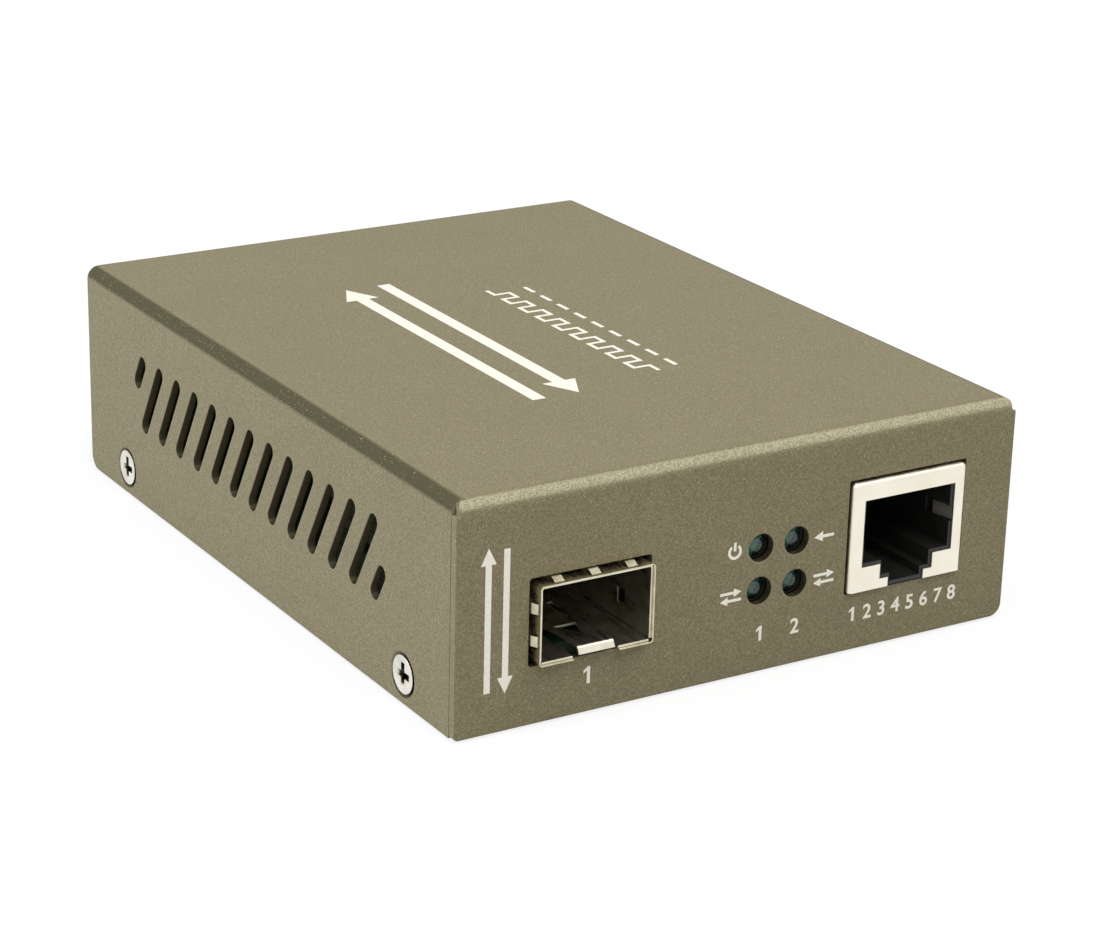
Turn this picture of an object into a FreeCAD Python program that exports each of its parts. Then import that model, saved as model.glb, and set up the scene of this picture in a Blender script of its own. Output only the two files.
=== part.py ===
import FreeCAD, Part
import math
import os

os.makedirs("parts", exist_ok=True)

V = FreeCAD.Vector

# Frame: X to the right seen from the front, Y to the rear, Z up, in millimetres.
# The origin is the middle of the footprint on the face that the case stands on.

# Case: a folded cover (top, both sides, front) over a folded chassis (bottom, rear)
case_width = 73.0
case_depth = 94.5
case_height = 27.0
cover_sheet = 1.0
chassis_sheet = 1.0
sheet_bend = 0.6
cover_lift = 0.3
case_gap = 0.15
front_seam = 0.12
corner_relief = 0.5
flange_corner_left = 0.5
flange_corner_right = 1.5
side_corner = 1.8
side_flange_height = 8.5
front_lip_height = 4.4
rear_return = 6.0
rear_inset = 0.3

# Side ventilation: slanted slots in step, and a half slot at each end of the row
vent_count = 12
vent_pitch = 5.0
vent_first_y = 28.0
vent_middle_z = 14.9
vent_reach = 9.2
vent_end_reach = 3.0
vent_width = 1.9
vent_slant = 30.0

# Countersunk screws that hold the cover to the chassis
side_screw_y = 36.1
side_screw_z = 3.65
side_screw_head = 4.4
side_screw_thread = 2.5
side_screw_length = 4.2
side_collar = 3.5
side_collar_height = 0.8
countersink_extra = 0.45
thread_gap = 0.03
recess_width = 0.8
recess_depth = 1.2
recess_span = 2.85
recess_taper = 0.3

# Circuit board on four clinched standoffs
board_thickness = 1.6
board_gap = 0.6
board_corner = 1.0
standoff_height = 4.6
standoff_across = 5.0
standoff_shank = 4.2
standoff_shank_short = 0.1
board_screw_thread = 3.0
board_screw_head = 5.4
board_screw_head_height = 1.9
board_screw_length = 5.0
board_hole_gap = 0.1
standoff_side_inset = 4.35
standoff_corner_inset = 3.55
standoff_front_inset = 5.65
standoff_rear_inset = 7.35
standoff_behind_port = 3.55

# Small form factor cage: folded shell, folded floor with latch leaf, spring collar
sfp_from_left = 16.5
sfp_width = 14.25
sfp_height = 9.15
sfp_length = 48.0
sfp_proud = 1.55
sfp_lift = 0.22
sfp_sheet = 0.25
sfp_bend = 0.2
sfp_fit = 0.02
sfp_foot_gap = 0.1
sfp_set_back = 0.3
sfp_back_relief = 0.5
sfp_back_return = 2.5
sfp_floor_gap = 1.5
sfp_window_gap = 0.48
sfp_window_corner = 0.4
collar_sheet = 0.12
collar_depth = 4.0
collar_corner = 0.45
finger_width = 1.2
finger_length = 2.7
finger_bow = 0.4
finger_ramp = 0.75
finger_root = 0.05
finger_slit = 0.25
finger_set_back = 0.5
finger_top_pitch = 4.55
finger_side_pitch = 3.7
latch_gap = 5.7
latch_width = 4.5
latch_length = 14.0
latch_flat = 4.0
latch_rise = 0.95
latch_lip = 0.7
latch_set_back = 0.2
latch_lip_slope = 0.35
latch_ramp_gap = 2.5
latch_root_lap = 0.5
latch_eye_width = 2.8
latch_eye_length = 3.4
latch_eye_set_back = 3.0
hook_length = 4.0
hook_height = 3.0
hook_count = 3
cage_pin_first = 12.0
cage_pin_last = 4.0
cage_pin_count = 5
cage_pin_width = 0.8
cage_pin_tip = 0.5
cage_pin_reach = 1.0
cage_vent = 2.2
cage_vent_pitch = 5.0
cage_vent_count = 1
cage_vent_first = 16.0
cage_slot_from_front = 6.0
cage_slot_lift = 3.3
cage_slot_length = 1.4
cage_slot_height = 1.8

# Edge connector at the back of the cage
edge_from_cage_rear = 12.0
edge_width = 12.2
edge_depth = 9.2
edge_height = 5.5
edge_slot_width = 10.8
edge_slot_height = 1.9
edge_slot_depth = 6.4
edge_slot_lift = 2.1
edge_chamfer = 0.7
edge_peg = 1.4
edge_contact_count = 10
edge_contact_pitch = 0.8
edge_contact_width = 0.3
edge_contact_sheet = 0.2
edge_contact_lift = 0.1
edge_contact_tip = 0.8
edge_contact_root = 1.4
edge_contact_step = 0.8
edge_contact_bow = 0.25
edge_passage_height = 0.4
edge_foot = 0.7

# Copper port: folded shield, moulded housing, eight spring wires
rj45_from_right = 14.8
rj45_width = 15.8
rj45_height = 13.1
rj45_length = 21.3
rj45_proud = 0.6
rj45_lift = 0.2
rj45_sheet = 0.25
rj45_corner = 0.6
rj45_window_gap = 0.25
rj45_window_corner = 0.25
plug_half_width = 6.3
plug_roof = 10.9
plug_floor = 2.9
plug_step_half_width = 3.7
plug_step_floor = 1.1
plug_key_half_width = 2.5
plug_ledge = 0.35
plug_depth = 14.0
housing_set_back = 0.3
housing_gap = 0.05
key_floor = 0.45
shield_tab_height = 1.6
shield_tab_lift = 6.3
shield_tab_length = 3.2
shield_tab_lean = 0.45
shield_tab_root = 0.15
shield_pin_width = 1.6
shield_pin_reach = 1.0
shield_pin_set_back = 9.0
wire_count = 8
wire_pitch = 1.02
wire_size = 0.35
wire_gap = 0.12
wire_turn_set_back = 4.4
wire_tip_set_back = 10.5
wire_tip_drop = 2.7
wire_stagger = 2.54
wire_rear_set_back = 2.2

# Indicator lamps in a two by two holder
lamp_place_between = 0.642
lamp_column_pitch = 4.76
lamp_lower_lift = 2.8
lamp_row_pitch = 5.05
lamp_window = 3.3
lamp_diameter = 2.9
lamp_flange = 3.6
lamp_flange_depth = 1.0
lamp_length = 5.2
lamp_recess = 0.45
lamp_fit = 0.05
lamp_dome_ring_count = 3
holder_wall = 0.9
holder_panel_gap = 0.3
holder_peg = 1.2
lead_size = 0.5
lead_pitch = 2.54
lead_first_bend = 1.4
lead_row_step = 2.2
lead_reach = 1.1

# Power inlet: moulded barrel socket with centre pin and two leaf contacts
jack_from_right = 18.5
jack_width = 9.0
jack_axis_lift = 6.5
jack_body_depth = 12.4
jack_panel_gap = 0.3
jack_collar = 8.4
jack_collar_proud = 0.2
jack_window_gap = 0.3
jack_bore = 6.3
jack_bore_depth = 10.6
jack_mouth_chamfer = 0.5
jack_pin = 2.1
jack_pin_recess = 1.0
jack_pin_nose = 0.4
jack_pin_blade_rim = 0.8
jack_leaf_width = 2.4
jack_leaf_sheet = 0.3
jack_leaf_gap = 0.2
jack_leaf_bow = 0.35
jack_leaf_crown = 2.0
jack_leaf_drop = 0.3
jack_leaf_length = 6.0
jack_leaf_set_back = 3.2
jack_blade_width = 2.0
jack_blade_reach = 1.4
jack_switch_blade_drop = 1.0

# Slide switch beside the inlet
switch_from_left = 26.5
switch_width = 8.8
switch_height = 4.2
switch_depth = 4.6
switch_lift = 0.1
switch_panel_gap = 0.9
switch_sheet = 0.3
switch_travel = 2.0
knob_width = 1.9
knob_height = 1.8
knob_proud = 1.1
knob_flange_width = 4.6
knob_flange_depth = 1.2
knob_gap = 0.1
knob_window_gap = 0.35
knob_rib_count = 3
knob_rib_depth = 0.15
knob_root = 0.5
switch_base_depth = 1.0
switch_pin_reach = 1.0
switch_terminal_pitch = 2.0
switch_terminal_width = 0.6
switch_terminal_sheet = 0.3
switch_tab_width = 1.0

# Components on the board
part_lift = 0.1
chip_x = 6.0
chip_y = 4.0
chip_size = 14.0
chip_height = 1.4
chip_lead_count = 7
chip_lead_pitch = 1.8
magnetics_behind_port = 13.05
magnetics_width = 15.2
magnetics_depth = 9.4
magnetics_height = 5.2
magnetics_lead_count = 8
magnetics_lead_pitch = 1.78
memory_left_of_chip = 12.5
memory_behind_chip = 14.0
memory_size = 4.9
memory_depth = 3.9
memory_height = 1.5
memory_lead_count = 4
memory_lead_pitch = 1.27
lead_foot = 0.6
lead_out = 1.1
lead_sheet = 0.2
lead_width = 0.4
lead_level = 0.35
magnetics_lead_level = 0.9
chamfer_small = 0.4
crystal_left_of_chip = 10.5
crystal_behind_chip = 2.0
crystal_length = 10.4
crystal_width = 4.0
crystal_height = 3.2
crystal_rim = 0.4
crystal_rim_height = 0.4
crystal_lead_pitch = 4.9
thin_lead_size = 0.5
regulator_left_of_jack = 14.0
regulator_from_rear = 17.35
regulator_width = 6.5
regulator_depth = 3.5
regulator_height = 1.6
regulator_lead_count = 3
regulator_lead_pitch = 2.3
regulator_tab = 3.0
inductor_left_of_jack = 14.0
inductor_from_rear = 7.35
inductor_size = 7.3
inductor_height = 4.0
inductor_chamfer = 1.2
inductor_waist = 0.9
inductor_flange = 0.9
input_capacitor_offset = 1.0
input_capacitor_from_rear = 23.35
output_capacitor_offset = 9.0
output_capacitor_from_rear = 19.35
cage_capacitor_offset = 4.0
cage_capacitor_from_rear = 18.35
capacitor_diameter = 6.3
capacitor_height = 11.0
capacitor_lead_pitch = 2.5
fuse_left_of_jack = 4.0
fuse_from_rear = 25.35
fuse_length = 4.5
fuse_width = 3.2
fuse_height = 0.9
fuse_cap = 0.7
diode_left_of_jack = 5.5
diode_from_rear = 18.85
diode_length = 4.4
diode_width = 2.7
diode_height = 2.2
diode_foot = 0.9
diode_foot_width = 1.6
diode_foot_lap = 0.05
small_capacitor_places = ((-3.0, -8.0), (0.0, -8.0), (3.0, -8.0), (6.0, -8.0), (-7.5, 30.0), (-7.5, 33.0),
                          (-22.0, 16.0), (-19.0, 16.0), (20.5, 2.0), (23.5, 2.0))
small_capacitor_size = (1.25, 2.0, 1.1)
small_capacitor_cap = 0.4
small_capacitor_rim = 0.05

# Flats that stand in for a full turn: where it is seen, on a lamp, and out of sight
seen_flats = 24
lamp_flats = 16
hidden_flats = 12

# Levels and faces that the pieces share
case_left = -case_width / 2
case_right = case_width / 2
case_front = -case_depth / 2
case_rear = case_depth / 2
panel_back = case_front + cover_sheet
chassis_half = case_width / 2 - cover_sheet - case_gap
chassis_front = panel_back + case_gap
chassis_rear = case_rear - rear_inset
chassis_top = case_height - cover_sheet - case_gap
rear_wall = chassis_rear - chassis_sheet
board_bottom = chassis_sheet + standoff_height
board_top = board_bottom + board_thickness
board_half = chassis_half - chassis_sheet - board_gap
board_front = panel_back + board_gap
board_rear = rear_wall - board_gap
sfp_x = case_left + sfp_from_left
rj45_x = case_right - rj45_from_right
jack_x = case_right - jack_from_right
switch_x = case_left + switch_from_left
sfp_front = case_front - sfp_proud
sfp_rear = sfp_front + sfp_length
sfp_bottom = board_top + sfp_lift
sfp_top = sfp_bottom + sfp_height
sfp_middle_z = (sfp_bottom + sfp_top) / 2
shell_half = sfp_width / 2 - collar_sheet - sfp_fit
shell_top = sfp_top - collar_sheet - sfp_fit
floor_bottom = sfp_bottom + collar_sheet + sfp_fit
floor_top = floor_bottom + sfp_sheet
rj45_front = case_front - rj45_proud
rj45_rear = rj45_front + rj45_length
rj45_bottom = board_top + rj45_lift
rj45_top = rj45_bottom + rj45_height
cage_side = sfp_x + sfp_width / 2
port_side = rj45_x - rj45_width / 2
lamp_middle_x = cage_side + lamp_place_between * (port_side - cage_side)
cage_pin_pitch = (sfp_length - cage_pin_first - cage_pin_last) / (cage_pin_count - 1)
edge_set_back = sfp_length - edge_from_cage_rear
lamp_columns = (lamp_middle_x - lamp_column_pitch / 2, lamp_middle_x + lamp_column_pitch / 2)
lamp_rows = (board_top + lamp_lower_lift, board_top + lamp_lower_lift + lamp_row_pitch)
lamp_tip = case_front + lamp_recess
holder_front = panel_back + holder_panel_gap
holder_rear = lamp_tip + lamp_length - lamp_flange_depth
jack_z = board_top + jack_axis_lift
jack_body_rear = rear_wall - jack_panel_gap
jack_mouth = chassis_rear + jack_collar_proud
switch_bottom = board_top + switch_lift
switch_rear = rear_wall - switch_panel_gap
switch_front = switch_rear - switch_depth
knob_z = switch_bottom + switch_height / 2
chip_base = board_top + part_lift
magnetics_y = rj45_rear + magnetics_behind_port
memory_x = chip_x - memory_left_of_chip
memory_y = chip_y + memory_behind_chip
crystal_x = chip_x - crystal_left_of_chip
crystal_y = chip_y + crystal_behind_chip
regulator_x = jack_x - regulator_left_of_jack
regulator_y = board_rear - regulator_from_rear
inductor_x = jack_x - inductor_left_of_jack
inductor_y = board_rear - inductor_from_rear
fuse_x = jack_x - fuse_left_of_jack
fuse_y = board_rear - fuse_from_rear
diode_x = jack_x - diode_left_of_jack
diode_y = board_rear - diode_from_rear
capacitor_places = ((jack_x + input_capacitor_offset, board_rear - input_capacitor_from_rear),
                    (jack_x + output_capacitor_offset, board_rear - output_capacitor_from_rear),
                    (sfp_x + cage_capacitor_offset, board_rear - cage_capacitor_from_rear))
standoff_places = ((standoff_corner_inset - board_half, board_front + standoff_front_inset),
                   (board_half - standoff_side_inset, rj45_rear + standoff_behind_port),
                   (standoff_side_inset - board_half, board_rear - standoff_rear_inset),
                   (board_half - standoff_side_inset, board_rear - standoff_rear_inset))


# Small building blocks

def at(axis, u, v, w):
    """Point from section coordinates u, v and the place w along the axis."""
    if axis == "x":
        return V(w, u, v)
    if axis == "y":
        return V(u, w, v)
    return V(u, v, w)


def block(x, y, z):
    """Box between two planes along each axis."""
    return Part.makeBox(x[1] - x[0], y[1] - y[0], z[1] - z[0], V(x[0], y[0], z[0]))


def centred(middle, size):
    """Pair of planes either side of a middle."""
    return (middle - size / 2, middle + size / 2)


def arc_points(u, v, radius, start, sweep, flats):
    """Points along an arc that has flats in place of its curve."""
    turns = [start + sweep * n / flats for n in range(flats + 1)]
    return [(u + radius * math.cos(turn), v + radius * math.sin(turn)) for turn in turns]


def bar(axis, u, v, radius, w, flats):
    """Many-sided bar along an axis between two places on it, its radius taken at the corners."""
    return plate(axis, arc_points(u, v, radius, 0, 2 * math.pi, flats)[:-1], w)


def rod(axis, u, v, radius, w):
    """Cylinder along an axis between two places on it."""
    return Part.makeCylinder(radius, w[1] - w[0], at(axis, u, v, w[0]), at(axis, 0, 0, 1))


def taper(axis, u, v, radii, w):
    """Cone along an axis with a radius at each end."""
    return Part.makeCone(radii[0], radii[1], w[1] - w[0], at(axis, u, v, w[0]), at(axis, 0, 0, 1))


def corner_arc(before, corner, after, radius):
    """Start, middle and end of the arc that rounds a corner."""
    into = (corner - before).normalize()
    out = (after - corner).normalize()
    turn = into.getAngle(out)
    reach = radius * math.tan(turn / 2)
    inward = (out - into).normalize()
    middle = corner + inward * (radius / math.cos(turn / 2) - radius)
    return corner - into * reach, middle, corner + out * reach


def path_edges(axis, points, radii, w, closed):
    """Straight and arc edges along a path whose corners are rounded."""
    flat = [V(u, v, 0) for u, v in points]
    count = len(flat)
    corners = []
    for index, corner in enumerate(flat):
        rounded = radii[index] > 0 and (closed or 0 < index < count - 1)
        if rounded:
            corners.append(corner_arc(flat[index - 1], corner, flat[(index + 1) % count], radii[index]))
        else:
            corners.append((corner, None, corner))
    edges = []
    for index, (arrive, middle, leave) in enumerate(corners):
        if middle is not None:
            arc_points = [at(axis, p.x, p.y, w) for p in (arrive, middle, leave)]
            edges.append(Part.Arc(*arc_points).toShape())
        if closed or index < count - 1:
            following = corners[(index + 1) % count][0]
            if (following - leave).Length > 1e-6:
                ends = [at(axis, p.x, p.y, w) for p in (leave, following)]
                edges.append(Part.LineSegment(*ends).toShape())
    return edges


def plate(axis, points, w, radii=0.0):
    """Closed outline, its corners rounded, given a thickness along the axis."""
    if isinstance(radii, float):
        radii = [radii] * len(points)
    edges = path_edges(axis, points, radii, w[0], True)
    face = Part.Face(Part.Wire(Part.sortEdges(edges)[0]))
    return face.extrude(at(axis, 0, 0, w[1] - w[0]))


def rectangle(u, v):
    """Corner points of a rectangle."""
    return [(u[0], v[0]), (u[1], v[0]), (u[1], v[1]), (u[0], v[1])]


def bent_strip(axis, points, sheet, bend, w):
    """Sheet folded along a path, its thickness laid to the left of the path; no bend keeps the folds sharp."""
    flat = [V(u, v, 0) for u, v in points]
    near = [0.0] * len(flat)
    far = [0.0] * len(flat)
    offset = []
    for index, corner in enumerate(flat):
        into = (corner - flat[index - 1]).normalize() if index else None
        out = (flat[index + 1] - corner).normalize() if index < len(flat) - 1 else None
        into = into or out
        out = out or into
        left = V(-into.y - out.y, into.x + out.x, 0)
        offset.append(corner + left * (sheet / (1 + into.dot(out))))
        turn = into.x * out.y - into.y * out.x
        if bend and abs(turn) > 1e-9:
            near[index] = bend + sheet if turn > 0 else bend
            far[index] = bend if turn > 0 else bend + sheet
    far_points = [(p.x, p.y) for p in offset]
    edges = path_edges(axis, points, near, w[0], False)
    edges += path_edges(axis, far_points, far, w[0], False)
    for end in (0, -1):
        tip = [at(axis, p[0], p[1], w[0]) for p in (points[end], far_points[end])]
        edges.append(Part.LineSegment(*tip).toShape())
    face = Part.Face(Part.Wire(Part.sortEdges(edges)[0]))
    return face.extrude(at(axis, 0, 0, w[1] - w[0]))


def obround(axis, ends, width, w):
    """Slot between two centres, its ends rounded with flats."""
    (u0, v0), (u1, v1) = ends
    heading = math.atan2(v1 - v0, u1 - u0)
    outline = arc_points(u0, v0, width / 2, heading + math.pi / 2, math.pi, seen_flats // 4)
    outline += arc_points(u1, v1, width / 2, heading - math.pi / 2, math.pi, seen_flats // 4)
    return plate(axis, outline, w)


def turned(origin, direction, outline, flats):
    """Many-sided solid about an axis from radius and length pairs that start and end on the axis."""
    rings = [[V(u, v, length) for u, v in arc_points(0, 0, radius, 0, 2 * math.pi, flats)]
             for radius, length in outline]
    faces = []
    for ring, following in zip(rings, rings[1:]):
        for first, *others in zip(ring, ring[1:], following[1:], following):
            corners = [first]
            corners += [point for point in others if not point.isEqual(first, 1e-6)]
            if corners[-1].isEqual(corners[-2], 1e-6):
                corners.pop()
            faces.append(Part.Face(Part.makePolygon(corners + [first])))
    shell = Part.Shell(faces)
    shell.sewShape()
    solid = Part.Solid(shell)
    if solid.Volume < 0:
        solid.reverse()
    solid = solid.removeSplitter()
    solid.Placement = FreeCAD.Placement(origin, FreeCAD.Rotation(V(0, 0, 1), direction))
    return solid


def corner_waste(axis, corner, inward, radius, w):
    """What is cut away to round a corner; inward gives the signs of the way into the body."""
    middle = (corner[0] + inward[0] * radius, corner[1] + inward[1] * radius)
    whole = plate(axis, rectangle((corner[0], middle[0]), (corner[1], middle[1])), w)
    return whole.cut(rod(axis, middle[0], middle[1], radius, w))


def fused(shapes):
    """One solid from pieces that meet."""
    return shapes[0].multiFuse(shapes[1:]).removeSplitter() if len(shapes) > 1 else shapes[0]


def without(body, tools):
    """Body with every tool cut away."""
    return body.cut(tools)


def group(shapes):
    """Several separate solids kept together."""
    return Part.makeCompound([solid for shape in shapes for solid in shape.Solids])


def spread(count, pitch):
    """Evenly spaced places either side of zero."""
    return [(index - (count - 1) / 2) * pitch for index in range(count)]


def cross_recess(radius, depth, width):
    """Tapered cross for a driver, pointing along +Z with its mouth at z = 0."""
    arms = []
    for turn in (0, 90):
        foot = radius * recess_taper
        arm = plate("y", [(-radius, 0.01), (radius, 0.01), (foot, -depth), (-foot, -depth)],
                    centred(0, width))
        arm.rotate(V(0, 0, 0), V(0, 0, 1), turn)
        arms.append(arm)
    return fused(arms)


# Cover screws

def side_screw_places():
    """Head centres on the outer side faces, with the outward direction."""
    return [(side, y) for side in (-1, 1) for y in (-side_screw_y, side_screw_y)]


def make_cover_screws():
    """Countersunk screws with flush heads."""
    head = side_screw_head / 2
    thread = side_screw_thread / 2
    outline = [(0, 0), (head, 0), (thread, thread - head), (thread, -side_screw_length), (0, -side_screw_length)]
    screw = turned(V(0, 0, 0), V(0, 0, 1), outline, seen_flats)
    screw = without(screw, [cross_recess(recess_span / 2, recess_depth, recess_width)])
    screws = []
    for side, y in side_screw_places():
        piece = screw.copy()
        piece.Placement = FreeCAD.Placement(V(side * case_right, y, side_screw_z),
                                            FreeCAD.Rotation(V(0, 0, 1), V(side, 0, 0)))
        screws.append(piece)
    return group(screws)


# Top cover

def vent_slots():
    """Slanted slots through both side walls."""
    slant = math.radians(vent_slant)
    lean = V(-math.sin(slant), math.cos(slant), 0)
    through = (case_left - 1, case_right + 1)
    slots = []
    for index in range(-1, vent_count + 1):
        middle = V(vent_first_y - index * vent_pitch, vent_middle_z, 0)
        top = middle + lean * (vent_reach / 2)
        foot = middle - lean * (vent_reach / 2)
        if index == -1:
            foot = top - lean * vent_end_reach
        if index == vent_count:
            top = foot + lean * vent_end_reach
        slots.append(obround("x", [(top.x, top.y), (foot.x, foot.y)], vent_width, through))
    return slots


def front_windows():
    """Openings in the front for the two ports and the lamps."""
    through = (case_front - 1, panel_back + 1)
    half = sfp_width / 2 + sfp_window_gap
    cage = rectangle((sfp_x - half, sfp_x + half), (sfp_bottom - sfp_window_gap, sfp_top + sfp_window_gap))
    half = rj45_width / 2 + rj45_window_gap
    port = rectangle((rj45_x - half, rj45_x + half), (rj45_bottom - rj45_window_gap, rj45_top + rj45_window_gap))
    windows = [plate("y", cage, through, sfp_window_corner), plate("y", port, through, rj45_window_corner)]
    windows += [bar("y", x, z, lamp_window / 2, through, seen_flats) for x in lamp_columns for z in lamp_rows]
    return windows


def make_top_cover():
    """One sheet folded down at the front and both sides."""
    side_front = panel_back + front_seam
    bend = sheet_bend + cover_sheet
    wrap = [(case_right, cover_lift), (case_right, case_height), (case_left, case_height), (case_left, cover_lift)]
    sides = bent_strip("y", wrap, cover_sheet, sheet_bend, (side_front, case_rear))
    corner = corner_waste("x", (case_rear, cover_lift), (-1, 1), side_corner, (case_left - 1, case_right + 1))
    before_bend = block((case_left + bend, case_right - bend), (case_front, panel_back + bend),
                        (case_height - bend, case_height + 1))
    drop = [(panel_back + bend, case_height), (case_front, case_height), (case_front, cover_lift)]
    front = bent_strip("x", drop, cover_sheet, sheet_bend, (case_left, case_right))
    reliefs = [block(x, (case_front - 1, side_front), (case_height - bend, case_height + 1))
               for x in ((case_left - 1, case_left + corner_relief), (case_right - corner_relief, case_right + 1))]
    past_seam = [block(x, (side_front - front_seam, case_rear), (0, case_height + 1))
                 for x in ((case_left - 1, case_left + bend), (case_right - bend, case_right + 1))]
    flange = plate("y", rectangle((case_left, case_right), (cover_lift, case_height)), (case_front - 1, case_rear),
                   [flange_corner_left, flange_corner_right, bend, bend])
    front = without(front, reliefs + past_seam).common(flange)
    cover = fused([without(sides, [corner, before_bend]), front])
    head = side_screw_head / 2 + countersink_extra
    bore = side_screw_thread / 2 + countersink_extra
    sunk = [(0, 0), (head, 0), (bore, bore - head), (bore, -cover_sheet - 1), (0, -cover_sheet - 1)]
    sinks = [turned(V(side * case_right, y, side_screw_z), V(side, 0, 0), sunk, seen_flats)
             for side, y in side_screw_places()]
    return without(cover, vent_slots() + front_windows() + sinks)


# Chassis

def make_base_chassis():
    """Bottom with folded side flanges, front lip and full rear panel."""
    bend = sheet_bend + chassis_sheet
    sides_path = [(-chassis_half, side_flange_height), (-chassis_half, 0), (chassis_half, 0),
                  (chassis_half, side_flange_height)]
    side_span = (chassis_front + bend, chassis_rear - bend)
    sides = bent_strip("y", sides_path, chassis_sheet, sheet_bend, side_span)
    spine_path = [(chassis_front, front_lip_height), (chassis_front, 0), (chassis_rear, 0),
                  (chassis_rear, chassis_top), (chassis_rear - rear_return, chassis_top)]
    spine = bent_strip("x", spine_path, chassis_sheet, sheet_bend, (-chassis_half + bend, chassis_half - bend))
    rear = block((-chassis_half, chassis_half), (rear_wall, chassis_rear), (bend, chassis_top - bend))
    chassis = fused([sides, spine, rear])
    collars = []
    holes = []
    for side, y in side_screw_places():
        wall = side * (chassis_half - chassis_sheet)
        tip = wall - side * side_collar_height
        collars.append(bar("x", y, side_screw_z, side_collar / 2, sorted((wall, tip)), hidden_flats))
        bore = side_screw_thread / 2 + thread_gap
        holes.append(bar("x", y, side_screw_z, bore, sorted((side * (chassis_half + 1), tip - side)), seen_flats))
    for x, y in standoff_places:
        holes.append(bar("z", x, y, standoff_shank / 2 + thread_gap, (-1, chassis_sheet + 1), seen_flats))
    through = (rear_wall - 1, chassis_rear + 1)
    holes.append(rod("y", jack_x, jack_z, jack_collar / 2 + jack_window_gap, through))
    half = (knob_width + switch_travel) / 2 + knob_window_gap
    slot = rectangle((switch_x - half, switch_x + half), centred(knob_z, knob_height + 2 * knob_window_gap))
    holes.append(plate("y", slot, through, knob_window_gap))
    return without(fused([chassis] + collars), holes)


def make_board_standoffs():
    """Clinched threaded spacers under the board."""
    spacers = []
    for x, y in standoff_places:
        barrel = bar("z", x, y, standoff_across / math.sqrt(3), (chassis_sheet, board_bottom), 6)
        shank = bar("z", x, y, standoff_shank / 2, (standoff_shank_short, chassis_sheet), seen_flats)
        bore = bar("z", x, y, board_screw_thread / 2 + thread_gap, (-1, board_bottom + 1), hidden_flats)
        spacers.append(without(fused([barrel, shank]), [bore]))
    return group(spacers)


def make_board_screws():
    """Pan head screws that hold the board down."""
    head = board_screw_head / 2
    thread = board_screw_thread / 2
    outline = [(0, -board_screw_length), (thread, -board_screw_length), (thread, 0), (head, 0),
               (head, board_screw_head_height), (0, board_screw_head_height)]
    return group([turned(V(x, y, board_top), V(0, 0, 1), outline, hidden_flats) for x, y in standoff_places])


# Circuit board and the holes that the other pieces need in it

def cage_pin_places():
    """Board positions of the cage's pins along both walls."""
    wall = shell_half - sfp_sheet / 2
    return [(sfp_x + side * wall, sfp_front + cage_pin_first + index * cage_pin_pitch)
            for side in (-1, 1) for index in range(cage_pin_count)]


def wire_places():
    """Board positions of the copper port's wires, in two staggered rows."""
    rear = rj45_rear - wire_rear_set_back
    return [(rj45_x + x, rear - (index % 2) * wire_stagger)
            for index, x in enumerate(spread(wire_count, wire_pitch))]


def shield_pin_places():
    """Board positions of the shield's two solder tabs."""
    wall = rj45_width / 2 - rj45_sheet / 2
    return [(rj45_x + side * wall, rj45_front + shield_pin_set_back) for side in (-1, 1)]


def lamp_lead_places():
    """Board positions of the lamp leads, the upper row behind the lower."""
    rear = lamp_tip + lamp_length
    return [(x + side * lead_pitch / 2, rear + lead_first_bend + row * lead_row_step, lamp_rows[row])
            for x in lamp_columns for row in (0, 1) for side in (-1, 1)]


def holder_peg_places():
    """Board positions of the lamp holder's two pegs."""
    return [(x, (holder_front + holder_rear) / 2) for x in lamp_columns]


def edge_peg_places():
    """Board positions of the edge connector's two pegs."""
    return [(sfp_x + side * (edge_width / 2 - edge_peg), sfp_front + edge_set_back + edge_depth / 2)
            for side in (-1, 1)]


def jack_blade_places():
    """Board slots of the inlet: pin blade, sleeve blade and switch blade."""
    return [(jack_x, jack_body_rear - jack_body_depth - jack_leaf_sheet / 2),
            (jack_x, sleeve_span(0)[0] + jack_leaf_sheet / 2),
            (jack_x - jack_width / 2 - jack_leaf_sheet / 2, jack_body_rear - jack_body_depth / 2)]


def switch_terminal_places():
    """Board positions of the slide switch's three terminals."""
    return [(switch_x + x, switch_front - switch_terminal_sheet / 2)
            for x in spread(3, switch_terminal_pitch)]


def switch_tab_places():
    """Board positions of the slide switch's two frame tabs."""
    wall = switch_width / 2 - switch_sheet / 2
    return [(switch_x + side * wall, (switch_front + switch_rear) / 2) for side in (-1, 1)]


def capacitor_lead_places():
    """Board positions of the can capacitors' leads."""
    return [(x + side * capacitor_lead_pitch / 2, y) for x, y in capacitor_places for side in (-1, 1)]


def crystal_lead_places():
    """Board positions of the crystal's leads."""
    return [(crystal_x, crystal_y + y) for y in spread(2, crystal_lead_pitch)]


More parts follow.
